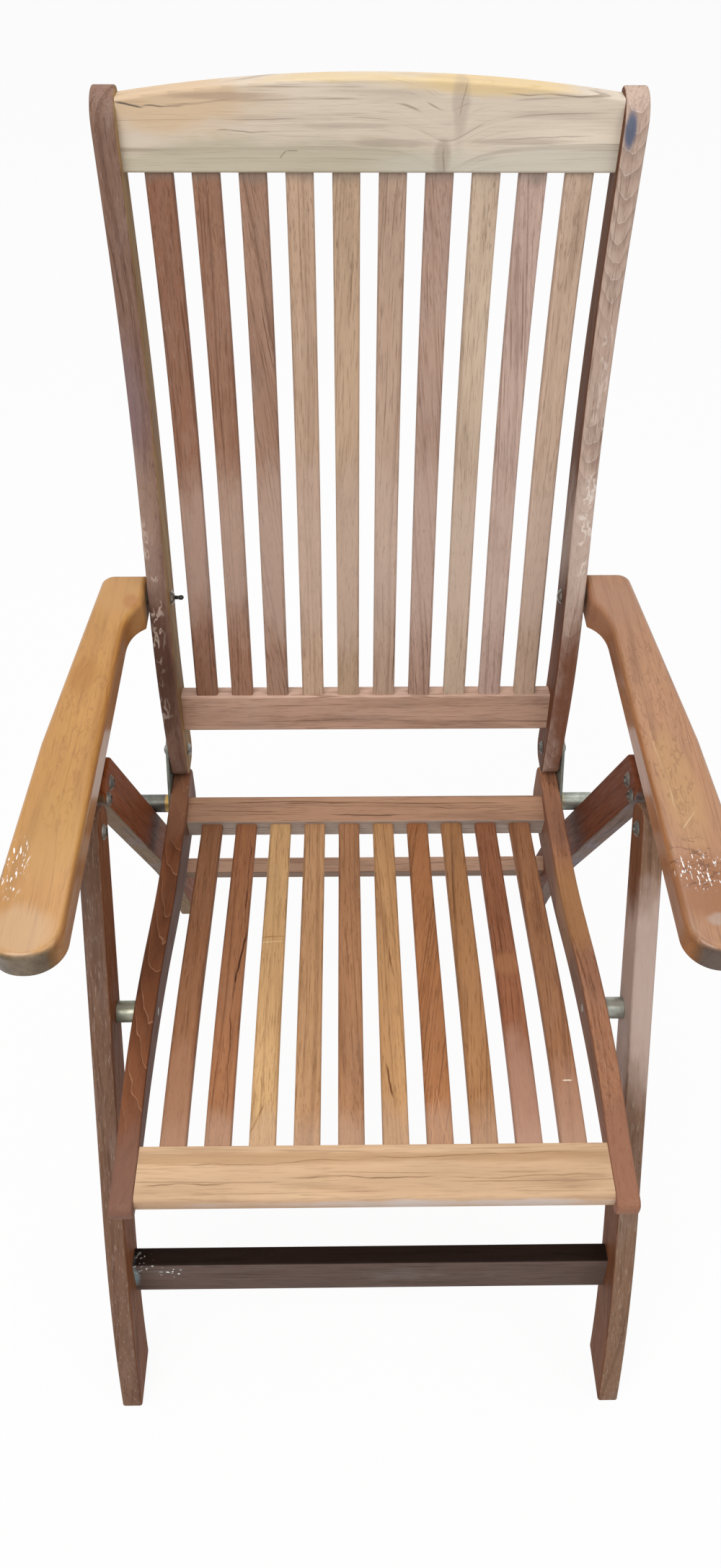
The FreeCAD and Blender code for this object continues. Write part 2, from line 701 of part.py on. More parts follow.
rear_rail_mid = from_rear_corner(S["rear_rail_width"] / 2, S["rear_rail_thickness"] / 2)
front_tenon = (
    *front_rail_mid,
    S["front_rail_width"] - 2 * S["broad_inset"],
    S["front_rail_thickness"] - 2 * S["tenon_inset"],
    ZERO,
)
rear_tenon = (
    *rear_rail_mid,
    S["rear_rail_width"] - 2 * S["tenon_inset"],
    S["rear_rail_thickness"] - 2 * S["tenon_inset"],
    S["rear_rail_tilt"],
)

for name, side in SIDES:
    rail = side_board(f"{name}_seat_rail", side, inner_face, S["frame_thickness"], seat_outline, ZERO, ZERO)
    round_board(rail, S["frame_thickness"], side)
    side_holes(rail, side, S["frame_thickness"], [(*leg_pivot, bore), (*stop, bore)])
    side_mortises(rail, side, [front_tenon, rear_tenon])
    keep(rail)

rail_round = S["front_rail_round"]
front_rail_round_end = front_rail_front + rail_round
front_rail_low = seat_up - S["front_rail_thickness"]
front_rail_outline = [
    (front_rail_back, seat_up),
    (front_rail_round_end, seat_up, rail_round),
    (front_rail_front, seat_up - rail_round),
    (front_rail_front, front_rail_low + rail_round, rail_round),
    (front_rail_round_end, front_rail_low),
    (front_rail_back, front_rail_low),
]
front_rail = cross_board("seat_front_rail", inner_face, front_rail_outline, ZERO, ZERO)
cross_tenons(front_rail, inner_face, [front_tenon])
keep(front_rail)

rear_rail_outline = [
    from_rear_corner(ZERO, ZERO),
    from_rear_corner(ZERO, S["rear_rail_thickness"]),
    from_rear_corner(S["rear_rail_width"], S["rear_rail_thickness"]),
    from_rear_corner(S["rear_rail_width"], ZERO),
]
rear_rail = cross_board("seat_rear_rail", inner_face, rear_rail_outline, ZERO, ZERO)
round_edges(rear_rail, S["board_edge"], lambda edge: edge.BoundBox.XLength > 100)
cross_tenons(rear_rail, inner_face, [rear_tenon])
keep(rear_rail)

# The slats run from the rear rail to the front rail in one slow curve
slat_front = (front_rail_back, seat_up - S["seat_slat_drop"])
slat_bend = (-S["seat_bend_front"], seat_up - S["seat_slat_bend_fall"])
slat_rear = from_rear_corner(ZERO, S["seat_slat_rear_drop"])
slat_rear_low = from_rear_corner(ZERO, S["seat_slat_rear_drop"] + S["slat_thickness"])
slat_radius_rear = slope_radius(slat_rear, slat_bend, S["seat_slat_slope"])
slat_radius_front = slope_radius(slat_bend, slat_front, S["seat_slat_slope"])
seat_slat_outline = [
    (*slat_rear, -slat_radius_rear),
    (*slat_bend, slat_radius_front),
    slat_front,
    (slat_front[0], slat_front[1] - S["slat_thickness"], -(slat_radius_front - S["slat_thickness"])),
    (slat_bend[0], slat_bend[1] - S["slat_thickness"], slat_radius_rear + S["slat_thickness"]),
    slat_rear_low,
]
tenon_high = S["slat_thickness"] - 2 * S["slat_shoulder"]
seat_front_tenon = (
    slat_front[0] - S["slat_tenon"] / 2,
    slat_front[1] - S["slat_thickness"] / 2,
    S["slat_tenon"],
    tenon_high,
    ZERO,
)
seat_rear_tenon = (
    *from_rear_corner(S["slat_tenon"] / 2, S["seat_slat_rear_drop"] + S["slat_thickness"] / 2),
    S["slat_tenon"],
    tenon_high,
    S["rear_rail_tilt"],
)


def make_slat(label, place, along, up, outline, tenons):
    """A curved slat with a narrower tenon at each end."""
    body = new_body(label, place - S["slat_width"] / 2, along, up)
    sketch = new_sketch(body, "YZ_Plane", "Outline")
    draw_outline(sketch, outline)
    pad(body, sketch, S["slat_width"])
    faces = (0.0, S["slat_width"].value)
    round_edges(body, S["slat_edge"], lambda edge: in_plane_x(edge, faces) and edge.Length > 50.0)
    for x, y, width, height, tilt in tenons:
        sketch = new_sketch(body, "YZ_Plane", "Tenon")
        bind(sketch, "AttachmentOffset.Base.z", S["slat_side_shoulder"])
        draw_box(sketch, x, y, width, height, tilt)
        pad(body, sketch, S["slat_width"] - 2 * S["slat_side_shoulder"])
    return keep(body)


def cut_slat_mortises(body, half_width, tenon):
    """The mortises of all slats in a cross board, from the same boxes as the tenons."""
    x, y, width, height, tilt = tenon
    grown = 2 * S["wood_fit"]
    for place in slat_places():
        sketch = new_sketch(body, "YZ_Plane", "SlatMortise")
        start = half_width + place - S["slat_width"] / 2 + S["slat_side_shoulder"] - S["wood_fit"]
        bind(sketch, "AttachmentOffset.Base.z", start)
        draw_box(sketch, x, y, width + grown, height + grown, tilt)
        pocket(body, sketch, S["slat_width"] - 2 * S["slat_side_shoulder"] + grown)


cut_slat_mortises(front_rail, inner_face, seat_front_tenon)
cut_slat_mortises(rear_rail, inner_face, seat_rear_tenon)
for number, place in enumerate(slat_places(), start=1):
    make_slat(
        f"seat_slat_{number:02d}", place, ZERO, ZERO, seat_slat_outline, [seat_front_tenon, seat_rear_tenon]
    )

# Steel on the seat: hinge plates, spacers and the tubes that lie on the rear legs
plate_face = S["frame_half_width"] + S["plate_thickness"]
groups = {}


def add_to(label, body):
    groups.setdefault(label, []).append(body)


for name, side in SIDES:
    plate = side_board(
        f"{name}_hinge_plate",
        side,
        S["frame_half_width"],
        S["plate_thickness"],
        stadium(stop, hinge, S["hinge_plate_radius"]),
        ZERO,
        ZERO,
    )
    side_holes(plate, side, S["plate_thickness"], [(*stop, bore), (*hinge, bore)])
    keep(plate)
    spacer = S["leg_gap"] - S["fit_gap"]
    add_to(
        "front_spacer_tubes",
        ring(f"{name}_spacer", side, S["frame_half_width"], spacer, *leg_pivot, bore, S["tube_radius"]),
    )
    add_to(
        "rear_support_tubes",
        ring(f"{name}_support", side, plate_face, leg_outer - plate_face, *stop, bore, S["tube_radius"]),
    )
    add_to(
        "rear_support_bolts",
        bolt(f"{name}_support_bolt", side, leg_outer, *stop, leg_outer - inner_face - S["fit_gap"]),
    )
    leg_face = leg_outer + S["fit_gap"]
    add_to("leg_pivot_bolts", bolt(f"{name}_leg_bolt", side, leg_face, *leg_pivot, leg_face - inner_face))


# Back, drawn from the hinge axis

stile_back = S["stile_foot_width"] - S["stile_front"]


def stile_edge(across, bend_across, angle, neck_across):
    """One edge of a stile from the foot up: upright, eased into its lean, eased upright again."""
    start = (across, S["stile_straight"])
    bend = (bend_across, S["stile_bend_up"])
    radius = ease(bend[0] - start[0], bend[1] - start[1], angle)
    leaning = (start[0] + radius * (1 - cosine(angle)), start[1] + radius * sine(angle))
    upper = (neck_across - bend[0]) / (1 - cosine(angle))
    neck = (neck_across, bend[1] + upper * sine(angle))
    return start, radius, leaning, bend, upper, neck


stile_back_top = S["stile_neck_back"] + S["stile_neck_width"]
front_edge = stile_edge(-S["stile_front"], S["stile_bend_back"], S["stile_bend_lean"], S["stile_neck_back"])
back_edge = stile_edge(
    stile_back, S["stile_bend_back"] + S["stile_bend_width"], S["stile_back_lean"], stile_back_top
)
stile_outline = [
    (-S["stile_front"], -S["stile_foot_drop"]),
    (stile_back, -S["stile_foot_drop"]),
    (*back_edge[0], -back_edge[1]),
    back_edge[2],
    (*back_edge[3], back_edge[4]),
    back_edge[5],
    (stile_back_top, S["stile_length"]),
    (S["stile_neck_back"], S["stile_length"]),
    (*front_edge[5], -front_edge[4]),
    front_edge[3],
    (*front_edge[2], front_edge[1]),
    front_edge[0],
]

low_lean = S["low_rail_lean"]
low_corner = (S["low_rail_back"], S["low_rail_up"])


def from_low_corner(back, down):
    """A place on the low rail, from its upper front edge."""
    return (
        low_corner[0] + back * cosine(low_lean) - down * sine(low_lean),
        low_corner[1] - back * sine(low_lean) - down * cosine(low_lean),
    )


low_tenon = (
    *from_low_corner(S["back_rail_thickness"] / 2, S["low_rail_height"] / 2),
    S["back_rail_thickness"] - 2 * S["tenon_inset"],
    S["low_rail_height"] - 2 * S["tenon_inset"],
    -low_lean,
)
top_rail_front = S["stile_neck_back"] + S["top_rail_setback"]
top_rail_low = S["stile_length"] - S["top_rail_drop"]
top_tenon = (
    top_rail_front + S["back_rail_thickness"] / 2,
    top_rail_low + S["top_rail_end_height"] / 2,
    S["back_rail_thickness"] - 2 * S["tenon_inset"],
    S["top_rail_end_height"] - 2 * S["broad_inset"],
    ZERO,
)
arm_from_hinge = (arm_pivot[0] - hinge[0], arm_pivot[1] - hinge[1])

for name, side in SIDES:
    stile = side_board(f"{name}_back_stile", side, inner_face, S["frame_thickness"], stile_outline, *hinge)
    round_corner(stile, S["stile_top_radius"], S["stile_neck_back"], S["stile_length"])
    round_corner(stile, S["stile_top_corner"], stile_back_top, S["stile_length"])
    round_corner(stile, S["stile_toe_radius"], -S["stile_front"], -S["stile_foot_drop"])
    round_corner(stile, S["stile_heel_radius"], stile_back, -S["stile_foot_drop"])
    round_board(stile, S["frame_thickness"], side)
    side_holes(stile, side, S["frame_thickness"], [(ZERO, ZERO, bore), (*arm_from_hinge, bore)])
    side_mortises(stile, side, [low_tenon, top_tenon])
    keep(stile)

low_rail = cross_board(
    "back_low_rail",
    inner_face,
    [
        from_low_corner(ZERO, ZERO),
        from_low_corner(ZERO, S["low_rail_height"]),
        from_low_corner(S["back_rail_thickness"], S["low_rail_height"]),
        from_low_corner(S["back_rail_thickness"], ZERO),
    ],
    *hinge,
)
round_edges(low_rail, S["board_edge"], lambda edge: edge.BoundBox.XLength > 100)
cross_tenons(low_rail, inner_face, [low_tenon])
keep(low_rail)

top_rail = new_body("back_top_rail", -inner_face, hinge[0] + top_rail_front, hinge[1] + top_rail_low)
top_sketch = new_sketch(top_rail, "XZ_Plane", "Outline")
arch_span = inner_face * 2
arch_radius = (inner_face * inner_face + S["top_rail_rise"] * S["top_rail_rise"]) / (S["top_rail_rise"] * 2)
draw_outline(
    top_sketch,
    [
        (ZERO, ZERO),
        (arch_span, ZERO),
        (arch_span, S["top_rail_end_height"], arch_radius),
        (ZERO, S["top_rail_end_height"]),
    ],
)
pad(top_rail, top_sketch, S["back_rail_thickness"], False)
round_edges(top_rail, S["board_edge"], lambda edge: edge.BoundBox.XLength > 100)
top_local = (
    S["back_rail_thickness"] / 2,
    S["top_rail_end_height"] / 2,
    top_tenon[2],
    top_tenon[3],
    ZERO,
)
cross_tenons(top_rail, inner_face, [top_local])
keep(top_rail)

back_slat_low = from_low_corner(S["back_slat_inset"], ZERO)
back_slat_low_rear = from_low_corner(S["back_slat_inset"] + S["slat_thickness"], ZERO)
back_slat_bend = (S["back_slat_bend_back"], S["back_slat_bend_up"])
back_slat_top = (top_rail_front + S["back_slat_inset"], top_rail_low)
back_radius_low = swing_radius(back_slat_low, back_slat_bend, S["back_slat_lean"])
back_radius_top = swing_radius(back_slat_bend, back_slat_top, S["back_slat_lean"])
back_slat_outline = [
    (*back_slat_low_rear, -(back_radius_low - S["slat_thickness"])),
    (back_slat_bend[0] + S["slat_thickness"], back_slat_bend[1], back_radius_top + S["slat_thickness"]),
    (back_slat_top[0] + S["slat_thickness"], back_slat_top[1]),
    (*back_slat_top, -back_radius_top),
    (*back_slat_bend, back_radius_low),
    back_slat_low,
]
back_low_tenon = (
    *from_low_corner(S["back_slat_inset"] + S["slat_thickness"] / 2, S["slat_tenon"] / 2),
    tenon_high,
    S["slat_tenon"],
    -low_lean,
)
back_top_tenon = (
    back_slat_top[0] + S["slat_thickness"] / 2,
    back_slat_top[1] + S["slat_tenon"] / 2,
    tenon_high,
    S["slat_tenon"],
    ZERO,
)
cut_slat_mortises(low_rail, inner_face, back_low_tenon)
back_top_local = (
    back_top_tenon[0] - top_rail_front,
    back_top_tenon[1] - top_rail_low,
    tenon_high,
    S["slat_tenon"],
    ZERO,
)
cut_slat_mortises(top_rail, inner_face, back_top_local)
for number, place in enumerate(slat_places(), start=1):
    make_slat(
        f"back_slat_{number:02d}", place, *hinge, back_slat_outline, [back_low_tenon, back_top_tenon]
    )

for name, side in SIDES:
    hinge_face = plate_face + S["fit_gap"]
    hinge_length = hinge_face - inner_face + S["bolt_end"]
    add_to("back_hinge_bolts", bolt(f"{name}_hinge_bolt", side, hinge_face, *hinge, hinge_length))
    add_to("back_hinge_nuts", dome_nut(f"{name}_hinge_nut", side, inner_face - S["fit_gap"], *hinge))


# Legs

def shank_radius(upper, lower, angle):
    """Radius of the lower part of a leg, smooth with the straight part above it."""
    run = root((lower[0] - upper[0]) * (lower[0] - upper[0]))
    drop = upper[1] - lower[1]
    chord = root(run * run + drop * drop)
    return chord / (2 * sine(angle - arc_angle(run, drop)))


front_toe = (-S["front_foot_front"], ZERO)
front_heel = (S["foot_width"] - S["front_foot_front"], ZERO)
front_leg_outline = [
    front_toe,
    (*front_heel, -shank_radius(heel, front_heel, heel_lean)),
    heel,
    top_rear,
    top_front,
    (*knee, shank_radius(knee, front_toe, knee_lean)),
]


def rear_leg_back_edge(height):
    """Where the back edge of a rear leg's straight part is at a height."""
    down = apex[1] + rear_leg_edge * sine(lean) - height
    return (apex[0] + rear_leg_edge * cosine(lean) + down * tangent(lean), height)


rear_top = rear_leg_back_edge(apex[1] + S["rear_leg_top_rise"])
rear_top_front = (rear_top[0] - S["rear_leg_width"] / cosine(lean), rear_top[1])
rear_knee = rear_leg_back_edge(S["rear_knee_up"])
rear_knee_front = (rear_knee[0] - S["rear_knee_width"], S["rear_knee_up"])
rear_foot = (rear_knee[0] + S["rear_foot_reach"], ZERO)
rear_foot_front = (rear_foot[0] - S["foot_width"], ZERO)
front_edge_lean = arc_angle(rear_knee_front[0] - rear_top_front[0], rear_top_front[1] - rear_knee_front[1])
rear_leg_outline = [
    rear_foot_front,
    (*rear_foot, shank_radius(rear_knee, rear_foot, lean)),
    rear_knee,
    rear_top,
    rear_top_front,
    (*rear_knee_front, -shank_radius(rear_knee_front, rear_foot_front, front_edge_lean)),
]
front_bar = (
    -S["front_bar_front"],
    S["front_bar_up"],
    S["bar_thickness"],
    S["bar_height"],
    -S["front_bar_tilt"],
)
rear_bar = (
    S["rear_bar_back"],
    S["rear_bar_up"],
    S["bar_thickness"],
    S["rear_bar_height"],
    S["rear_bar_tilt"],
)


def tenon_of(bar):
    return (bar[0], bar[1], bar[2] - 2 * S["tenon_inset"], bar[3] - 2 * S["tenon_inset"], bar[4])


leg_thickness = S["leg_thickness"]
for name, side in SIDES:
    leg = side_board(f"{name}_front_leg", side, leg_inner, leg_thickness, front_leg_outline, ZERO, ZERO)
    round_corner(leg, S["leg_top_radius"], *top_rear)
    round_corner(leg, S["leg_top_radius"], *top_front)
    round_corner(leg, S["foot_corner"], *front_toe)
    round_corner(leg, S["foot_corner"], *front_heel)
    round_board(leg, S["leg_thickness"], side)
    side_holes(leg, side, S["leg_thickness"], [(*leg_pivot, bore), (*apex, bore)])
    side_mortises(leg, side, [tenon_of(front_bar)])
    keep(leg)
    leg = side_board(f"{name}_rear_leg", side, leg_inner, leg_thickness, rear_leg_outline, ZERO, ZERO)
    round_corner(leg, S["rear_leg_top_radius"], *rear_top)
    round_corner(leg, S["rear_leg_top_radius"], *rear_top_front)
    round_corner(leg, S["foot_corner"], *rear_foot)
    round_corner(leg, S["foot_corner"], *rear_foot_front)
    round_board(leg, S["leg_thickness"], side)
    side_holes(leg, side, S["leg_thickness"], [(*near_bolt, bore), (*far_bolt, bore)])
    side_mortises(leg, side, [tenon_of(rear_bar)])
    keep(leg)

for label, bar in (("front_stretcher", front_bar), ("rear_stretcher", rear_bar)):
    board = new_body(label, -leg_inner)
    sketch = new_sketch(board, "YZ_Plane", "Outline")
    draw_box(sketch, *bar)
    pad(board, sketch, leg_inner * 2)
    round_edges(board, S["board_edge"], lambda edge: edge.BoundBox.XLength > 100)
    cross_tenons(board, leg_inner, [tenon_of(bar)])
    keep(board)

apex_face = leg_outer + S["fit_gap"]
apex_outer = apex_face + S["plate_thickness"]
for name, side in SIDES:
    plate = side_board(
        f"{name}_top_plate",
        side,
        apex_face,
        S["plate_thickness"],
        stadium(apex, far_bolt, S["apex_plate_radius"]),
        ZERO,
        ZERO,
    )
    holes = [(*apex, bore), (*near_bolt, bore), (*far_bolt, bore), (*stop_pin, S["stop_pin_radius"])]
    side_holes(plate, side, S["plate_thickness"], holes)
    keep(plate)
    through = apex_outer - leg_inner + S["bolt_end"]
    add_to("top_pivot_bolts", bolt(f"{name}_top_bolt", side, apex_outer, *apex, through))
    add_to("top_pivot_nuts", dome_nut(f"{name}_top_nut", side, leg_inner - S["fit_gap"], *apex))
    for place, spot in (("near", near_bolt), ("far", far_bolt)):
        add_to("top_plate_bolts", bolt(f"{name}_{place}_bolt", side, apex_outer, *spot, through))
        add_to("top_plate_nuts", dome_nut(f"{name}_{place}_nut", side, leg_inner, *spot))
    add_to(
        "arm_stop_pins",
        turned_piece(
            f"{name}_stop_pin",
            apex_face * side,
            *stop_pin,
            [
                (ZERO, ZERO),
                ((S["plate_thickness"] + S["stop_pin_length"]) * side, ZERO),
                ((S["plate_thickness"] + S["stop_pin_length"]) * side, S["stop_pin_radius"]),
                (ZERO, S["stop_pin_radius"]),
            ],
        ),
    )


# Arms, drawn from their pivot and sloping with them

arm_block = S["frame_half_width"] + S["arm_washer"] + 2 * S["fit_gap"]
arm_tail_outer = arm_block + S["arm_tail_width"]
arm_low = arm_under + S["arm_block_depth"]
scoop_across = S["arm_inner"] - arm_block
scoop_along = S["arm_scoop_end"] - S["arm_scoop_start"]
scoop_radius = (scoop_across * scoop_across + scoop_along * scoop_along) / (scoop_across * 2)
block_depth = S["arm_block_depth"]
rise_arc = (S["arm_block_rise"] * S["arm_block_rise"] + block_depth * block_depth) / (block_depth * 2)


def arm_outline(side):
    """Outline of an arm seen from above, for the right side or mirrored for the left."""
    corners = [
        (arm_block, S["arm_tail"]),
        (arm_block, -S["arm_scoop_start"], scoop_radius),
        (S["arm_inner"], -S["arm_scoop_end"]),
        (S["arm_inner"], -S["arm_length"]),
        (S["arm_outer_front"], -S["arm_length"]),
        (S["arm_outer_front"], -S["arm_shoulder_front"]),
        (S["arm_outer_mid"], -S["arm_mid_front"]),
        (arm_tail_outer, S["arm_tail"]),
    ]
    return [(corner[0] * side, corner[1], *(radius * -side for radius in corner[2:])) for corner in corners]


def is_upright(edge, x, y):
    box = edge.BoundBox
    return box.ZLength > 20 and abs(box.XMin - x) < 0.1 and abs(box.YMin - y) < 0.1


for name, side in SIDES:
    arm = new_body(f"{name}_armrest", ZERO, *arm_pivot, S["arm_slope"])
    sketch = new_sketch(arm, "XY_Plane", "Outline")
    bind(sketch, "AttachmentOffset.Base.z", -arm_low)
    draw_outline(sketch, arm_outline(side))
    pad(arm, sketch, S["arm_thickness"] + S["arm_block_depth"])
    tip_y = -S["arm_length"].value
    round_edges(
        arm,
        S["arm_tip_radius"],
        lambda edge: is_upright(edge, S["arm_inner"].value * side, tip_y)
        or is_upright(edge, S["arm_outer_front"].value * side, tip_y),
    )
    tail = (arm_tail_outer.value * side, S["arm_tail"].value)
    round_edges(arm, S["arm_tail_radius"], lambda edge: is_upright(edge, *tail))
    scoop = (arm_block.value * side, -S["arm_scoop_start"].value)
    round_edges(arm, S["arm_block_corner"], lambda edge: is_upright(edge, *scoop))
    sketch = new_sketch(arm, "YZ_Plane", "Underside")
    bind(sketch, "AttachmentOffset.Base.z", inner_face * side)
    front = -(S["arm_length"] + S["arm_cut_margin"])
    block_end = -S["arm_block_length"]
    draw_outline(
        sketch,
        [
            (front, -(arm_low + S["arm_cut_margin"])),
            (block_end, -(arm_low + S["arm_cut_margin"])),
            (block_end, -arm_low, rise_arc),
            (block_end - S["arm_block_rise"], -arm_under),
            (front, -arm_under),
        ],
    )
    pocket(arm, sketch, S["arm_outer_front"] - inner_face + S["arm_tail"], side > 0)
    top = S["arm_above_pivot"].value
    round_edges(arm, S["arm_edge"], lambda edge: abs(edge.BoundBox.ZMin - top) < 0.01)
    sketch = new_sketch(arm, "YZ_Plane", "PivotBore")
    bind(sketch, "AttachmentOffset.Base.z", (arm_block - S["fit_gap"]) * side)
    draw_circle(sketch, ZERO, ZERO, bore)
    pocket(arm, sketch, S["arm_bolt_depth"] + S["fit_gap"] * 2, side > 0)
    keep(arm)

    rack = new_body(f"{name}_arm_rack", S["rack_inner"] * side, *arm_pivot, S["arm_slope"])
    sketch = new_sketch(rack, "YZ_Plane", "Outline")
    notch = S["stop_pin_radius"] + S["fit_gap"] * 2
    rack_low = -(arm_under + S["rack_height"])
    notch_count = int(S["notch_count"].value)
    end = pin_along - S["rack_notch_pitch"] * (notch_count - 1) - S["rack_margin"]
    outline = [(pin_along + S["rack_margin"], -arm_under), (end, -arm_under), (end, rack_low)]
    for index in reversed(range(notch_count)):
        centre = pin_along - S["rack_notch_pitch"] * index
        outline.append((centre - notch, rack_low, -notch))
        outline.append((centre, rack_low + notch, -notch))
        outline.append((centre + notch, rack_low))
    outline.append((pin_along + S["rack_margin"], rack_low))
    draw_outline(sketch, outline)
    pad(rack, sketch, S["rack_width"], side > 0)
    keep(rack)

    add_to(
        "arm_pivot_washers",
        ring(
            f"{name}_arm_washer",
            side,
            S["frame_half_width"] + S["fit_gap"],
            S["arm_washer"],
            *arm_pivot,
            bore,
            S["head_radius"],
        ),
    )
    into_arm = arm_block + S["arm_bolt_depth"] - inner_face
    add_to(
        "arm_pivot_bolts",
        bolt(f"{name}_arm_bolt", -side, -(inner_face - S["fit_gap"]), *arm_pivot, into_arm + S["fit_gap"]),
    )

for label, members in groups.items():
    group(label, members)

doc.recompute()
for item in doc.Objects:
    assert not {"Invalid", "Error"} & set(item.State), f"{item.Label} failed"
for item in made:
    assert not item.Shape.isNull() and item.Shape.isValid(), f"{item.Label} has no sound shape"

os.makedirs("parts", exist_ok=True)
for item in made:
    item.Shape.exportStep(f"parts/{item.Label}.step")
    print(item.Label, round(item.Shape.Volume / 1000.0, 2), "cm3", len(item.Shape.Solids), "solids")
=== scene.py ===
import json
import math
from collections import namedtuple

import bpy
from mathutils import Matrix, Vector


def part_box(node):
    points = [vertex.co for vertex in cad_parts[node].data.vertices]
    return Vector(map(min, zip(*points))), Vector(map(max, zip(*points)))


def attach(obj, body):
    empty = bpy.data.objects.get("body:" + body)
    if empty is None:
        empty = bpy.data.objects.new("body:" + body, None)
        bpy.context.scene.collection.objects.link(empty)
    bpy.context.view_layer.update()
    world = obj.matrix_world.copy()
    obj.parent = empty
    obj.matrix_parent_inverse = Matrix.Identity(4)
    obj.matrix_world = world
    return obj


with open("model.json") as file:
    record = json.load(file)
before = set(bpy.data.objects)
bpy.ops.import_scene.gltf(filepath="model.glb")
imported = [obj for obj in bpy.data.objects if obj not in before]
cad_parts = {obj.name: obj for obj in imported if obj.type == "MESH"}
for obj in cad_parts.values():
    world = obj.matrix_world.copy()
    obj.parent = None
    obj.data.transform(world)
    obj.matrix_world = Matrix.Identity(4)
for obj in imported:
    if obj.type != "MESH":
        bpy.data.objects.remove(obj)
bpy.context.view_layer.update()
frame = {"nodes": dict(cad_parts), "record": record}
nodes = frame["nodes"]

# Places are in metres in the chair's frame: X to the right of the photo, Y to the back, Z up.
# Tones are #rrggbb codes, and the share of a layer runs from 0, none of it, to 1, where it covers.

WHITE = (1.0, 1.0, 1.0)

# Wood: how the tones of a board follow from its own tone
DARKER = (0.44, 0.37, 0.33)
LIGHTER = (1.26, 1.30, 1.30)
REDDER = (1.00, 0.80, 0.68)
PORES_DARKER = (0.70, 0.70, 0.70)
WEATHERED = "#938f8e"
PALE_FIBRE = "#e2d5c8"

# Wood: values that every board has in common, lengths in metres
SEED_SHIFT = Vector((0.731, 0.417, 0.953))
LINE_WOBBLE = (0.008, 0.008, 0.008)
FIBRE_HEIGHT = 0.0007
WOOD_SPECULAR = 0.12
VARNISH_ROUGHNESS = 0.16

# Metal: clouds and specks of tarnish per metre, and how deep the specks are
METAL_CLOUDS = 60.0
METAL_SPECKS = 420.0
SPECK_DEPTH = 0.0004
METALLIC = 0.8

# Grain directions
X = (1.0, 0.0, 0.0)
SEAT = (0.0, -0.995, 0.10)
RIGHT_RAIL = (-0.01, -0.995, 0.10)
BACK = (0.0, 0.10, 0.995)
FRONT_LEG = (0.0, -0.47, -0.88)
REAR_LEG = (0.0, 0.53, -0.85)
ARM = (0.0, -1.0, 0.014)

# Faces: where the curved rings go, and where light and shade are painted by the direction of a face
TO_LEFT = (-1.0, 0.0, 0.0)
TO_RIGHT = (1.0, 0.0, 0.0)
TO_FRONT = (0.0, -1.0, 0.0)
TO_TOP = (0.0, 0.0, 1.0)
REAR_RAIL_FRONT = (0.0, -0.95, -0.30)
REAR_LEG_FRONT = (0.0, -0.85, -0.53)
REAR_STRETCHER_FRONT = (0.0, -0.87, -0.50)

# What a board can carry on top of its grain.
# A soft stain, where reach is its half size along each axis
Spot = namedtuple("Spot", "middle reach tone share")
# A crack or a thin line, which goes on through the board along the axes where flat is 0
Line = namedtuple("Line", "start end flat width tone share")
# An area of small marks, where scale is marks per metre along and across the grain
Scratches = namedtuple("Scratches", "middle reach tone share scale curved")
# The curved rings of a flat-sawn face: middle is the place of their tips across the grain, length and
# width are the size of one ring, depth is how dark it is inside, and tone and share are those of its edge
CurvedRings = namedtuple("CurvedRings", "face middle length width depth tone share")
# Where the rings dip, as a place along the grain, how wide and how deep
Knot = namedtuple("Knot", "middle width depth")
# A tinted part of a metal piece between two places along X
Band = namedtuple("Band", "start end tone share")
# What differs from slat to slat, where slant is the X part of its grain direction
Slat = namedtuple("Slat", "tone slant lines grey red")


def top_line(start, end, width, tone, share):
    """A line on a face that looks up, between two (x, y) places."""
    return Line((*start, 0.0), (*end, 0.0), (1.0, 1.0, 0.0), width, tone, share)


def front_line(start, end, width, tone, share):
    """A line on a face that looks forward, between two (x, z) places."""
    places = [(x, 0.0, z) for x, z in (start, end)]
    return Line(*places, (1.0, 0.0, 1.0), width, tone, share)


def specks(middle, reach, tone, share, scale):
    """Short straight marks, such as painted glints of light on varnish and drops of paint."""
    return Scratches(middle, reach, tone, share, scale, curved=False)


def curls(middle, reach, tone, share, scale):
    """Thin curved marks, such as scuffs."""
    return Scratches(middle, reach, tone, share, scale, curved=True)


def rgb(code):
    """Linear colour of a #rrggbb code."""
    parts = [int(code[i : i + 2], 16) / 255 for i in (1, 3, 5)]
    return tuple(c / 12.92 if c <= 0.04045 else ((c + 0.055) / 1.055) ** 2.4 for c in parts)


def scaled(colour, factors):
    return tuple(min(1.0, c * factor) for c, factor in zip(colour, factors))


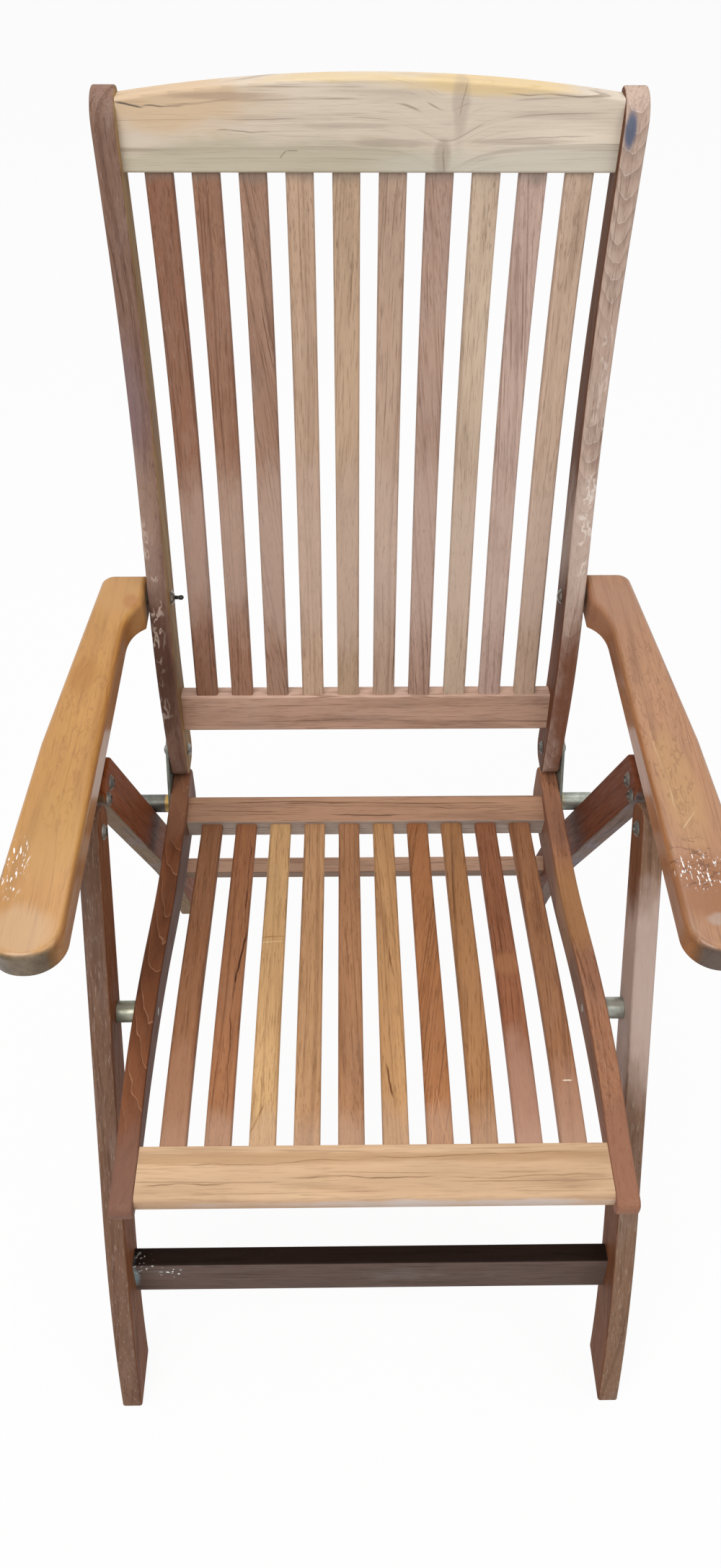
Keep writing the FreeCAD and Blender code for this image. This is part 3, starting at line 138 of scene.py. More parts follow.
class Graph:
    """A short way to build the nodes of one material or of the world."""

    def __init__(self, owner):
        self.tree = owner.node_tree
        self.tree.nodes.clear()

    def add(self, kind, **settings):
        node = self.tree.nodes.new(kind)
        for key, value in settings.items():
            setattr(node, key, value)
        return node

    def feed(self, socket, value):
        if isinstance(value, bpy.types.NodeSocket):
            self.tree.links.new(value, socket)
        else:
            socket.default_value = value

    def feed_all(self, node, **inputs):
        for name, value in inputs.items():
            self.feed(node.inputs[name.replace("_", " ")], value)

    def math(self, operation, a, b=0.0, c=0.0, clamp=False):
        node = self.add("ShaderNodeMath", operation=operation, use_clamp=clamp)
        for socket, value in zip(node.inputs, (a, b, c)):
            self.feed(socket, value)
        return node.outputs[0]

    def times(self, a, b):
        return self.math("MULTIPLY", a, b)

    def plus(self, a, b):
        return self.math("ADD", a, b)

    def minus(self, a, b):
        return self.math("SUBTRACT", a, b)

    def over(self, a, b):
        return self.math("DIVIDE", a, b)

    def vmath(self, operation, a, b=(0.0, 0.0, 0.0), output="Vector"):
        node = self.add("ShaderNodeVectorMath", operation=operation)
        self.feed(node.inputs[0], a)
        self.feed(node.inputs[1], b)
        return node.outputs[output]

    def dot(self, a, b):
        return self.vmath("DOT_PRODUCT", a, b, output="Value")

    def grown(self, vector, size):
        node = self.add("ShaderNodeVectorMath", operation="SCALE")
        self.feed_all(node, Vector=vector, Scale=size)
        return node.outputs["Vector"]

    def from_middle(self, where, middle, reach):
        """How far a place is from a middle: 1 where the reach along each axis ends."""
        away = self.vmath("SUBTRACT", where, middle)
        return self.vmath("LENGTH", self.vmath("DIVIDE", away, reach), output="Value")

    def vector(self, x, y, z):
        node = self.add("ShaderNodeCombineXYZ")
        self.feed_all(node, X=x, Y=y, Z=z)
        return node.outputs[0]

    def noise(self, place, scale, detail=2.0, rough=0.5, output="Fac"):
        node = self.add("ShaderNodeTexNoise")
        self.feed_all(node, Vector=place, Scale=scale, Detail=detail, Roughness=rough)
        return node.outputs[output]

    def noise_1d(self, place, scale, detail=2.0, rough=0.5):
        node = self.add("ShaderNodeTexNoise", noise_dimensions="1D")
        self.feed_all(node, W=place, Scale=scale, Detail=detail, Roughness=rough)
        return node.outputs["Fac"]

    def ramp(self, value, low, high, bottom=0.0, top=1.0):
        """Goes smoothly from bottom to top while the value goes from low to high."""
        node = self.add("ShaderNodeMapRange", clamp=True, interpolation_type="SMOOTHSTEP")
        self.feed_all(node, Value=value, From_Min=low, From_Max=high, To_Min=bottom, To_Max=top)
        return node.outputs["Result"]

    def mix(self, share, a, b, how="MIX"):
        node = self.add("ShaderNodeMix", data_type="RGBA", blend_type=how, clamp_factor=True)
        self.feed(node.inputs["Factor"], share)
        for socket, value in zip((node.inputs[6], node.inputs[7]), (a, b)):
            if not isinstance(value, bpy.types.NodeSocket):
                value = (*value, 1.0)
            self.feed(socket, value)
        return node.outputs[2]

    def mix_shaders(self, share, a, b):
        node = self.add("ShaderNodeMixShader")
        for socket, value in zip(node.inputs, (share, a, b)):
            self.feed(socket, value)
        return node.outputs[0]

    def coloured(self, kind, colour, **inputs):
        """A shader of one plain colour."""
        node = self.add(kind)
        self.feed_all(node, Color=(*colour, 1.0), **inputs)
        return node.outputs[0]

    def bump(self, height, strength, distance):
        node = self.add("ShaderNodeBump")
        self.feed_all(node, Height=height, Strength=strength, Distance=distance)
        return node.outputs[0]

    def place(self):
        return self.add("ShaderNodeTexCoord").outputs["Object"]

    def facing(self, direction):
        """1 where the surface of the piece faces a direction of the chair, 0 where it doesn't."""
        normal = self.add("ShaderNodeTexCoord").outputs["Normal"]
        return self.ramp(self.dot(normal, direction), 0.45, 0.85)

    def background_share(self, most=1.0):
        """The share of plain white that the camera, glossy surfaces and clear ones see."""
        rays = self.add("ShaderNodeLightPath").outputs
        seen = self.math("MAXIMUM", rays["Is Camera Ray"], rays["Is Glossy Ray"])
        return self.times(self.math("MAXIMUM", seen, rays["Is Transmission Ray"]), most)

    def surface(self, colour, rough, normal, **inputs):
        shader = self.add("ShaderNodeBsdfPrincipled")
        self.feed_all(shader, Base_Color=colour, Roughness=rough, Normal=normal, **inputs)
        self.output(shader.outputs[0])

    def output(self, shader, kind="ShaderNodeOutputMaterial"):
        self.tree.links.new(shader, self.add(kind).inputs[0])


def new_material(name):
    material = bpy.data.materials.new(name)
    material.use_nodes = True
    return material, Graph(material)


class Wood:
    """Weathered hardwood of one tone, in layers that go on the board's own tone one by one."""

    def __init__(self, name, tone, along, seed, streak=None):
        self.material, self.g = new_material(name)
        self.body = rgb(tone)
        self.dark = rgb(streak) if streak else scaled(self.body, DARKER)
        self.light = scaled(self.body, LIGHTER)
        self.colour = self.body
        self.along = Vector(along).normalized()
        steep = abs(self.along.z) > 0.8
        self.side = self.along.cross(Vector((0, 1, 0)) if steep else Vector((0, 0, 1))).normalized()
        up = self.side.cross(self.along).normalized()
        self.where = self.g.place()
        shift = SEED_SHIFT * seed
        self.u = self.g.plus(self.distance_along(self.along), shift.x)
        self.v = self.g.plus(self.distance_along(self.side), shift.y)
        self.w = self.g.plus(self.distance_along(up), shift.z)

    def distance_along(self, direction):
        return self.g.dot(self.where, tuple(direction))

    def layer(self, share, tone):
        self.colour = self.g.mix(share, self.colour, tone)

    def noise(self, along, across, scale=1.0, detail=2.0, rough=0.5):
        """Noise with so many marks per metre along and across the grain."""
        g = self.g
        place = g.vector(g.times(self.u, along), g.times(self.v, across), g.times(self.w, across))
        return g.noise(place, scale, detail, rough)

    def growth_rings(self, lines, gap, turn, wave, knot):
        """Nearly straight lines that wander a little and dip to a knot."""
        g = self.g
        angle = math.radians(turn)
        wander = g.minus(self.noise(2.6, 11.0, detail=1.5), 0.5)
        across = g.plus(g.times(self.v, math.cos(angle)), g.times(self.w, math.sin(angle)))
        across = g.plus(across, g.times(wander, wave * 4.0))
        if knot:
            away = g.over(g.minus(self.distance_along(self.along), knot.middle), knot.width)
            across = g.plus(across, g.over(knot.depth, g.plus(g.times(away, away), 1.0)))
        rings = g.noise_1d(across, 0.5 / gap, 2.0, 0.6)
        self.layer(g.ramp(self.noise(4.0, 24.0), 0.40, 0.70, top=0.55), self.light)
        self.layer(g.ramp(self.noise(3.2, 40.0, 1.7), 0.52, 0.74, top=0.40), self.dark)
        self.layer(g.ramp(rings, 0.44, 0.27, top=lines), self.dark)
        self.layer(g.ramp(rings, 0.54, 0.74, top=0.6 * lines), self.light)
        shaken = g.plus(across, g.times(self.noise(14.0, 40.0, detail=1.0), 0.6 * gap))
        hairlines = g.ramp(g.noise_1d(shaken, 1.3 / gap, 1.0), 0.38, 0.30, top=min(0.9, 1.5 * lines))
        broken = g.ramp(self.noise(9.0, 60.0, 1.4, 1.0), 0.42, 0.62)
        self.layer(g.times(hairlines, broken), self.dark)

    def patches(self, grey, red):
        """Redder and greyer patches."""
        g = self.g
        reds = self.noise(5.0, 13.0, 1.0, 2.5, 0.6)
        self.layer(g.ramp(reds, 0.50, 0.72, top=red), scaled(self.body, REDDER))
        self.greys = self.noise(5.0, 13.0, 2.1, 3.5, 0.65)
        grey_tone = tuple(Vector(self.light).lerp(Vector(rgb(WEATHERED)), 0.5))
        self.layer(g.ramp(self.greys, 0.48, 0.76, top=grey), grey_tone)

    def curved_rings(self, rings):
        """Rings like arches, dark inside, with a pale edge."""
        g = self.g
        bend = g.over(g.minus(self.distance_along(self.side), rings.middle), rings.width)
        height = g.plus(g.over(self.u, rings.length), g.times(bend, bend))
        height = g.plus(height, g.times(self.noise(16.0, 60.0, detail=2.5), 1.6))
        part = g.math("FRACT", height)
        broken = g.ramp(self.noise(7.0, 8.0, 1.3, 1.0), 0.30, 0.55)
        mask = g.times(g.facing(rings.face), broken)
        self.layer(g.times(g.ramp(part, 0.75, 0.02, top=rings.depth), mask), self.dark)
        edge = g.math("MINIMUM", g.ramp(part, 0.93, 0.975), g.ramp(part, 1.0, 0.985))
        self.layer(g.times(g.times(edge, mask), rings.share), rgb(rings.tone))

    def fibres(self, fibre, flecks):
        """Fibres and pores, and pale fibres where the surface is worn."""
        g = self.g
        self.threads = self.noise(26.0, 560.0, 1.0, 2.5, 0.6)
        self.layer(g.ramp(self.threads, 0.54, 0.72, top=0.75 * fibre), self.dark)
        self.layer(g.ramp(self.threads, 0.44, 0.26, top=0.55 * fibre), self.light)
        self.pores = g.ramp(self.noise(34.0, 900.0), 0.57, 0.72)
        self.layer(g.times(self.pores, 0.60 * fibre), scaled(self.dark, PORES_DARKER))
        if flecks:
            pale = self.noise(60.0, 620.0, 1.3, 2.0, 0.6)
            self.layer(g.ramp(pale, 0.58, 0.70, top=flecks), rgb(PALE_FIBRE))

    # Painted light and shade: the colour of the faces that look in one direction is multiplied by factors
    def paint_face_light_and_shade(self, face, factors):
        self.layer(self.g.facing(face), self.g.mix(1.0, self.colour, factors, "MULTIPLY"))

    def stain(self, spot):
        g = self.g
        size = g.from_middle(self.where, spot.middle, spot.reach)
        size = g.plus(size, g.times(g.minus(self.greys, 0.5), 1.2))
        self.layer(g.ramp(size, 1.0, 0.45, top=spot.share), rgb(spot.tone))

    def draw(self, lines):
        """Lines that waver and fade in places."""
        g = self.g
        wobble = g.vmath("SUBTRACT", g.noise(self.where, 24.0, 2.5, output="Color"), (0.5, 0.5, 0.5))
        wobbling = g.vmath("ADD", g.vmath("MULTIPLY", wobble, LINE_WOBBLE), self.where)
        fading = g.ramp(self.noise(45.0, 45.0), 0.36, 0.56, bottom=0.55)
        for line in lines:
            start = Vector(line.start)
            reach = Vector(line.end) - start
            place = g.vmath("MULTIPLY", g.vmath("SUBTRACT", wobbling, tuple(start)), line.flat)
            run = g.dot(place, tuple(reach / reach.length_squared))
            run = g.math("MULTIPLY", run, 1.0, clamp=True)
            gap = g.vmath("DISTANCE", place, g.grown(tuple(reach), run), output="Value")
            ends = g.times(g.ramp(run, 0.0, 0.25), g.ramp(run, 1.0, 0.75))
            core = g.ramp(gap, line.width, 0.3 * line.width, top=line.share)
            self.layer(g.times(core, g.times(ends, fading)), rgb(line.tone))

    def scratch(self, area):
        g = self.g
        marks = self.noise(*area.scale)
        if area.curved:
            broken = g.ramp(self.noise(*area.scale, 0.7, 1.0), 0.46, 0.56)
            marks = g.times(g.ramp(g.math("ABSOLUTE", g.minus(marks, 0.5)), 0.06, 0.02), broken)
        else:
            marks = g.ramp(marks, 0.60, 0.66)
        inside = g.ramp(g.from_middle(self.where, area.middle, area.reach), 1.0, 0.6)
        self.layer(g.times(g.times(marks, inside), area.share), rgb(area.tone))

    def finish(self, wear, gloss):
        g = self.g
        height = g.minus(g.times(self.threads, -0.6), g.times(self.pores, 0.5))
        normal = g.bump(height, 0.25 + 0.35 * wear, FIBRE_HEIGHT)
        rough = g.ramp(self.threads, 0.3, 0.8, 0.40 + 0.24 * wear, 0.56 + 0.28 * wear)
        varnish = dict(Coat_Weight=gloss, Coat_Roughness=VARNISH_ROUGHNESS)
        g.surface(self.colour, rough, normal, Specular_IOR_Level=WOOD_SPECULAR, **varnish)


def paint(name, material):
    piece = nodes[name]
    piece.data.materials.clear()
    piece.data.materials.append(material)


def board(
    piece,
    tone,
    along,
    seed,
    lines=0.45,
    gap=0.0040,
    turn=30.0,
    wave=0.006,
    fibre=0.5,
    grey=0.2,
    red=0.2,
    wear=0.5,
    gloss=0.0,
    flecks=0.0,
    face_light_and_shade=(),
    spots=(),
    strokes=(),
    scratches=(),
    rings=None,
    streak=None,
    knot=None,
):
    """Gives a board its own wood, with grain along one direction.

    lines is the contrast of the growth rings, gap their spacing in metres, turn their slant across the
    board in degrees and wave how far they wander. fibre is the contrast of the fibres, grey and red the
    share of weathered and of redder patches, wear the roughness, gloss the varnish that is left and flecks
    the share of pale fibres. The factors given for faces by their direction paint light and shade on those
    faces, and streak is the tone of the dark lines. The rest are the marks that are listed at the top.
    """
    wood = Wood(f"{piece}_wood", tone, along, seed, streak)
    wood.growth_rings(lines, gap, turn, wave, knot)
    wood.patches(grey, red)
    if rings:
        wood.curved_rings(rings)
    wood.fibres(fibre, flecks)
    # Light and shade painted on the faces by their direction
    for face, factors in face_light_and_shade:
        wood.paint_face_light_and_shade(face, factors)
    for spot in spots:
        wood.stain(spot)
    if strokes:
        wood.draw(strokes)
    for area in scratches:
        wood.scratch(area)
    wood.finish(wear, gloss)
    paint(piece, wood.material)


def metal(name, tone, dull, stain, rough, bands=()):
    """Weathered metal, with bands along X that are tinted."""
    material, g = new_material(name)
    where = g.place()
    clouds = g.noise(where, METAL_CLOUDS, 4.0, 0.6)
    specks = g.noise(where, METAL_SPECKS, 3.0, 0.6)
    colour = g.mix(g.ramp(clouds, 0.36, 0.66), rgb(tone), rgb(dull))
    colour = g.mix(g.ramp(specks, 0.56, 0.78, top=0.6), colour, rgb(stain))
    for band in bands:
        x = g.dot(where, X)
        inside = g.times(g.math("GREATER_THAN", x, band.start), g.math("LESS_THAN", x, band.end))
        colour = g.mix(g.times(inside, band.share), colour, rgb(band.tone))
    shine = g.ramp(clouds, 0.3, 0.7, rough, rough + 0.2)
    g.surface(colour, shine, g.bump(specks, 0.25, SPECK_DEPTH), Metallic=METALLIC)
    return material


# Back slats
back_slats = [
    Slat("#8f6651", slant=0.00, lines=0.50, grey=0.25, red=0.12),
    Slat("#98705a", slant=0.00, lines=0.55, grey=0.25, red=0.10),
    Slat("#a17e6a", slant=-0.13, lines=0.60, grey=0.30, red=0.15),
    Slat("#bd9e86", slant=0.00, lines=0.30, grey=0.20, red=0.10),
    Slat("#ba9d83", slant=0.05, lines=0.40, grey=0.12, red=0.10),
    Slat("#b79a86", slant=0.02, lines=0.50, grey=0.25, red=0.10),
    Slat("#af9080", slant=-0.10, lines=0.55, grey=0.35, red=0.15),
    Slat("#c4ac96", slant=0.00, lines=0.30, grey=0.20, red=0.05),
    Slat("#bea295", slant=-0.05, lines=0.50, grey=0.35, red=0.12),
    Slat("#bea28d", slant=0.00, lines=0.50, grey=0.30, red=0.10),
]
# Painted shadow of the top rail across the top ends of the back slats
TOP_RAIL_SHADOW = Spot((0.0, 0.28, 1.048), (0.5, 0.08, 0.018), "#7d776e", 0.45)
# Painted light on the lower part of the back, where it bulges up towards the light
LUMBAR_PAINTED_LIGHT = Spot((0.0, 0.23, 0.68), (0.5, 0.15, 0.13), "#cbb3a5", 0.45)
for number, slat in enumerate(back_slats, start=1):
    board(
        f"back_slat_{number:02d}",
        slat.tone,
        (slat.slant, 0.10, 0.995),
        seed=3.1 + number * 1.37,
        lines=slat.lines,
        gap=0.0034,
        turn=8.0,
        fibre=0.65,
        grey=slat.grey,
        red=slat.red,
        wear=0.75,
        flecks=0.10,
        spots=[TOP_RAIL_SHADOW, LUMBAR_PAINTED_LIGHT],
    )

# Seat slats, with the cracks, the bands and the pale ends of single ones
SEAT_TOP = 0.42
seat_slats = [
    Slat("#926446", slant=0.02, lines=0.55, grey=0.15, red=0.30),
    Slat("#9c6a49", slant=0.01, lines=0.65, grey=0.10, red=0.35),
    Slat("#c89f70", slant=0.00, lines=0.22, grey=0.05, red=0.05),
    Slat("#b48962", slant=0.00, lines=0.35, grey=0.10, red=0.15),
    Slat("#a47654", slant=0.02, lines=0.40, grey=0.12, red=0.20),
    Slat("#b98c60", slant=0.03, lines=0.40, grey=0.08, red=0.10),
    Slat("#a16c46", slant=-0.16, lines=0.50, grey=0.08, red=0.22),
    Slat("#a6774f", slant=-0.06, lines=0.55, grey=0.08, red=0.12),
    Slat("#935f43", slant=-0.02, lines=0.60, grey=0.08, red=0.22),
    Slat("#996a4a", slant=-0.05, lines=0.55, grey=0.12, red=0.12),
]
seat_spots = {
    1: [Spot((-0.18, -0.26, SEAT_TOP), (0.03, 0.11, 0.05), "#a97f64", 0.5)],
    3: [Spot((-0.103, 0.03, 0.43), (0.02, 0.10, 0.05), "#c6ab72", 0.55)],
    9: [
        Spot((0.140, -0.075, SEAT_TOP), (0.02, 0.02, 0.05), "#a8754f", 0.6),
        Spot((0.140, -0.27, SEAT_TOP), (0.03, 0.12, 0.05), "#b68f7b", 0.6),
    ],
    10: [Spot((0.18, -0.26, SEAT_TOP), (0.03, 0.09, 0.05), "#b68f79", 0.5)],
}
seat_lines = {
    2: [
        top_line((-0.133, 0.13), (-0.131, -0.03), 0.0011, "#4a2617", 0.9),
        top_line((-0.129, -0.01), (-0.138, -0.13), 0.0013, "#3a1c11", 0.95),
        top_line((-0.137, -0.10), (-0.134, -0.27), 0.0009, "#5a3220", 0.8),
    ],
    3: [
        top_line((-0.116, -0.036), (-0.084, -0.034), 0.0016, "#946a3c", 0.9),
        top_line((-0.116, -0.043), (-0.085, -0.042), 0.0010, "#e6cfa2", 0.8),
        top_line((-0.099, -0.236), (-0.112, -0.270), 0.0013, "#8a6238", 0.85),
    ],
    6: [
        top_line((0.020, -0.045), (0.026, -0.10), 0.0013, "#6b4020", 0.8),
        top_line((0.013, -0.195), (0.019, -0.235), 0.0013, "#5d3319", 0.85),
    ],
    7: [
        top_line((0.058, -0.215), (0.050, -0.295), 0.0009, "#cb9770", 0.6),
        top_line((0.058, -0.215), (0.068, -0.295), 0.0009, "#cb9770", 0.6),
    ],
    10: [top_line((0.178, -0.217), (0.188, -0.217), 0.0010, "#efe0cc", 0.9)],
}
# Painted light on the front of the seat, which faces the light
SEAT_FRONT_PAINTED_LIGHT = Spot((0.0, -0.295, SEAT_TOP), (0.5, 0.065, 0.10), "#bd9d86", 0.45)
for number, slat in enumerate(seat_slats, start=1):
    board(
        f"seat_slat_{number:02d}",
        slat.tone,
        (slat.slant, -0.995, 0.10),
        seed=21.7 + number * 1.71,
        lines=slat.lines,
        gap=0.0032,
        turn=6.0,
        fibre=0.7,
        grey=slat.grey,
        red=slat.red,
        flecks=0.06,
        spots=[SEAT_FRONT_PAINTED_LIGHT, *seat_spots.get(number, ())],
        strokes=seat_lines.get(number, ()),
    )

# Top rail: honey at its left end and edge, grey-green below, with a knot, its streaks and cracks
board(
    "back_top_rail",
    "#d5c6b4",
    X,
    seed=51.3,
    lines=0.40,
    gap=0.0042,
    turn=80.0,
    wave=0.005,
    fibre=0.18,
    grey=0.12,
    red=0.0,
    wear=0.3,
    streak="#8c7a6a",
    knot=Knot(middle=0.064, width=0.026, depth=0.020),
    spots=[
        Spot((-0.20, 0.29, 1.100), (0.15, 0.08, 0.040), "#d2b087", 0.65),
        Spot((-0.10, 0.29, 1.045), (0.24, 0.08, 0.032), "#b5ad95", 0.70),
        Spot((0.15, 0.29, 1.043), (0.18, 0.08, 0.026), "#c8c1b2", 0.70),
        Spot((0.12, 0.29, 1.112), (0.12, 0.08, 0.012), "#dfc28c", 0.75),
        Spot((-0.06, 0.29, 1.116), (0.16, 0.08, 0.006), "#dcc394", 0.70),
        Spot((-0.12, 0.29, 1.101), (0.060, 0.08, 0.004), "#a88e7c", 0.55),
        Spot((0.074, 0.29, 1.090), (0.009, 0.08, 0.035), "#ad9a8c", 0.45),
        Spot((0.061, 0.29, 1.058), (0.009, 0.08, 0.018), "#8f7b6c", 0.40),
        Spot((0.020, 0.29, 1.066), (0.050, 0.08, 0.004), "#a08e80", 0.45),
        Spot((-0.02, 0.29, 1.079), (0.060, 0.08, 0.003), "#a89585", 0.40),
        Spot((0.12, 0.29, 1.067), (0.060, 0.08, 0.003), "#a89585", 0.40),
    ],
    strokes=[
        front_line((-0.211, 1.096), (-0.184, 1.092), 0.0010, "#57504a", 0.9),
        front_line((-0.190, 1.093), (-0.150, 1.095), 0.0009, "#6b6056", 0.8),
        front_line((-0.172, 1.095), (-0.105, 1.099), 0.0010, "#8d7766", 0.6),
        front_line((-0.135, 1.075), (-0.080, 1.074), 0.0008, "#84786a", 0.6),
        front_line((-0.076, 1.053), (-0.069, 1.061), 0.0007, "#8a8168", 0.8),
        front_line((-0.070, 1.060), (-0.059, 1.060), 0.0007, "#8a8168", 0.7),
        front_line((0.063, 1.066), (0.063, 1.040), 0.0010, "#7d6c5e", 0.6),
        front_line((0.080, 1.112), (0.074, 1.083), 0.0009, "#94826f", 0.5),
        front_line((0.105, 1.103), (0.195, 1.100), 0.0009, "#7c6a58", 0.6),
        front_line((0.10, 1.069), (0.19, 1.072), 0.0008, "#94887e", 0.5),
    ],
)

# Low rail of the back
board(
    "back_low_rail",
    "#c29e89",
    X,
    seed=52.9,
    lines=0.60,
    gap=0.0045,
    turn=75.0,
    wave=0.009,
    fibre=0.65,
    grey=0.35,
    red=0.15,
    wear=0.7,
    flecks=0.10,
    # Painted light: the top face is lighter and greyer
    face_light_and_shade=[(TO_TOP, (1.15, 1.2, 1.25))],
)

# Front and rear rail of the seat
board(
    "seat_front_rail",
    "#c8a583",
    X,
    seed=53.3,
    lines=0.28,
    gap=0.0046,
    turn=20.0,
    wave=0.005,
    fibre=0.35,
    grey=0.10,
    red=0.05,
    wear=0.35,
    # Painted shade: the front face is darker
    face_light_and_shade=[(TO_FRONT, (0.86, 0.84, 0.86))],
    spots=[
        Spot((-0.05, -0.291, 0.418), (0.40, 0.007, 0.05), "#b18c66", 0.6),
        Spot((0.06, -0.334, 0.412), (0.30, 0.006, 0.010), "#c9beb9", 0.75),
    ],
    strokes=[
        top_line((-0.21, -0.299), (0.01, -0.292), 0.0009, "#94704c", 0.65),
        top_line((-0.03, -0.292), (0.20, -0.287), 0.0009, "#8d6a47", 0.65),
        top_line((-0.21, -0.317), (-0.12, -0.313), 0.0009, "#7c5c3c", 0.7),
        top_line((-0.08, -0.309), (0.07, -0.311), 0.0009, "#765739", 0.75),
        top_line((0.05, -0.311), (0.21, -0.309), 0.0008, "#8f6d4a", 0.55),
    ],
)
board(
    "seat_rear_rail",
    "#b58d72",
    X,
    seed=54.1,
    lines=0.65,
    gap=0.0034,
    turn=25.0,
    wave=0.005,
    fibre=0.6,
    grey=0.15,
    red=0.25,
    wear=0.7,
    # Painted shade: the front face is greyer and bluer
    face_light_and_shade=[(REAR_RAIL_FRONT, (0.95, 1.30, 1.70))],
    strokes=[
        top_line((-0.11, 0.172), (-0.01, 0.174), 0.0009, "#5b3828", 0.8),
        top_line((-0.05, 0.157), (0.05, 0.155), 0.0010, "#4f3022", 0.8),
        top_line((0.05, 0.167), (0.19, 0.163), 0.0009, "#643f2c", 0.7),
        top_line((-0.20, 0.163), (-0.09, 0.160), 0.0008, "#643f2c", 0.7),
    ],
)

# Side rails of the seat
board(
    "left_seat_rail",
    "#78492f",
    SEAT,
    seed=55.7,
    lines=0.25,
    gap=0.006,
    turn=70.0,
    fibre=0.35,
    grey=0.12,
    red=0.25,
    # Painted shade: the inner face is much darker and the outer face a little darker
    face_light_and_shade=[(TO_RIGHT, (0.55, 0.50, 0.47)), (TO_LEFT, (0.8, 0.76, 0.74))],
    spots=[
        Spot((-0.22, -0.33, 0.42), (0.03, 0.09, 0.05), "#86665a", 0.55),
        Spot((-0.22, 0.17, 0.40), (0.03, 0.07, 0.05), "#966a50", 0.65),
    ],
    rings=CurvedRings(
        face=TO_TOP, middle=0.212, length=0.050, width=0.0145, depth=0.42, tone="#b28566", share=0.65
    ),
)
board(
    "right_seat_rail",
    "#a07054",
    RIGHT_RAIL,
    seed=56.9,
    lines=0.55,
    gap=0.0036,
    turn=15.0,
    fibre=0.95,
    red=0.25,
    wear=0.65,
    flecks=0.10,
    # Painted shade: the inner face is much darker and the outer face a little darker
    face_light_and_shade=[(TO_LEFT, (0.60, 0.55, 0.52)), (TO_RIGHT, (0.8, 0.76, 0.74))],
    spots=[
        Spot((0.22, 0.0, 0.41), (0.03, 0.09, 0.05), "#ad7d50", 0.6),
        Spot((0.22, 0.14, 0.40), (0.03, 0.06, 0.05), "#8e6551", 0.5),
        Spot((0.22, -0.30, 0.42), (0.03, 0.08, 0.05), "#946753", 0.7),
    ],
)

# Stiles of the back: scuffs on the left one, curved rings and a blue-grey stain on the right one; painted
# light on the inner face of the left one and painted shade on that of the right one
board(
    "left_back_stile",
    "#836556",
    BACK,
    seed=57.3,
    gap=0.0036,
    fibre=0.65,
    grey=0.40,
    red=0.1,
    wear=0.9,
    flecks=0.10,
    # Painted light: the inner face is lighter and more olive
    face_light_and_shade=[(TO_RIGHT, (1.35, 1.42, 0.90))],
    spots=[
        Spot((-0.235, 0.27, 0.84), (0.03, 0.10, 0.10), "#7d6670", 0.5),
        Spot((-0.235, 0.23, 0.71), (0.03, 0.15, 0.14), "#a88d7e", 0.55),
        Spot((-0.23, 0.24, 0.57), (0.03, 0.12, 0.14), "#54362c", 0.8),
    ],
    scratches=[
        curls((-0.232, 0.22, 0.64), (0.02, 0.10, 0.12), "#c2ada0", 0.8, scale=(60, 130)),
        curls((-0.232, 0.25, 0.50), (0.02, 0.10, 0.08), "#c2ada0", 0.6, scale=(40, 110)),
    ],
)
board(
    "right_back_stile",
    "#b89f90",
    BACK,
    seed=58.1,
    lines=0.35,
    fibre=0.6,
    grey=0.35,
    red=0.15,
    wear=0.8,
    flecks=0.15,
    # Painted shade: the inner face is very dark
    face_light_and_shade=[(TO_LEFT, (0.26, 0.145, 0.09))],
    spots=[
        Spot((0.2155, 0.285, 1.077), (0.0065, 0.06, 0.018), "#5c6478", 0.95),
        Spot((0.23, 0.24, 0.50), (0.04, 0.12, 0.14), "#75462f", 0.9),
        Spot((0.23, 0.24, 0.70), (0.04, 0.12, 0.09), "#cfbaad", 0.5),
    ],
    scratches=[
        curls((0.228, 0.24, 0.72), (0.02, 0.06, 0.07), "#e3d6cb", 0.8, scale=(60, 130)),
        curls((0.228, 0.26, 0.86), (0.02, 0.06, 0.12), "#dccbbf", 0.5, scale=(40, 150)),
    ],
    rings=CurvedRings(
        face=TO_FRONT, middle=-0.2195, length=-0.017, width=0.0110, depth=0.35, tone="#dccbc0", share=0.6
    ),
)

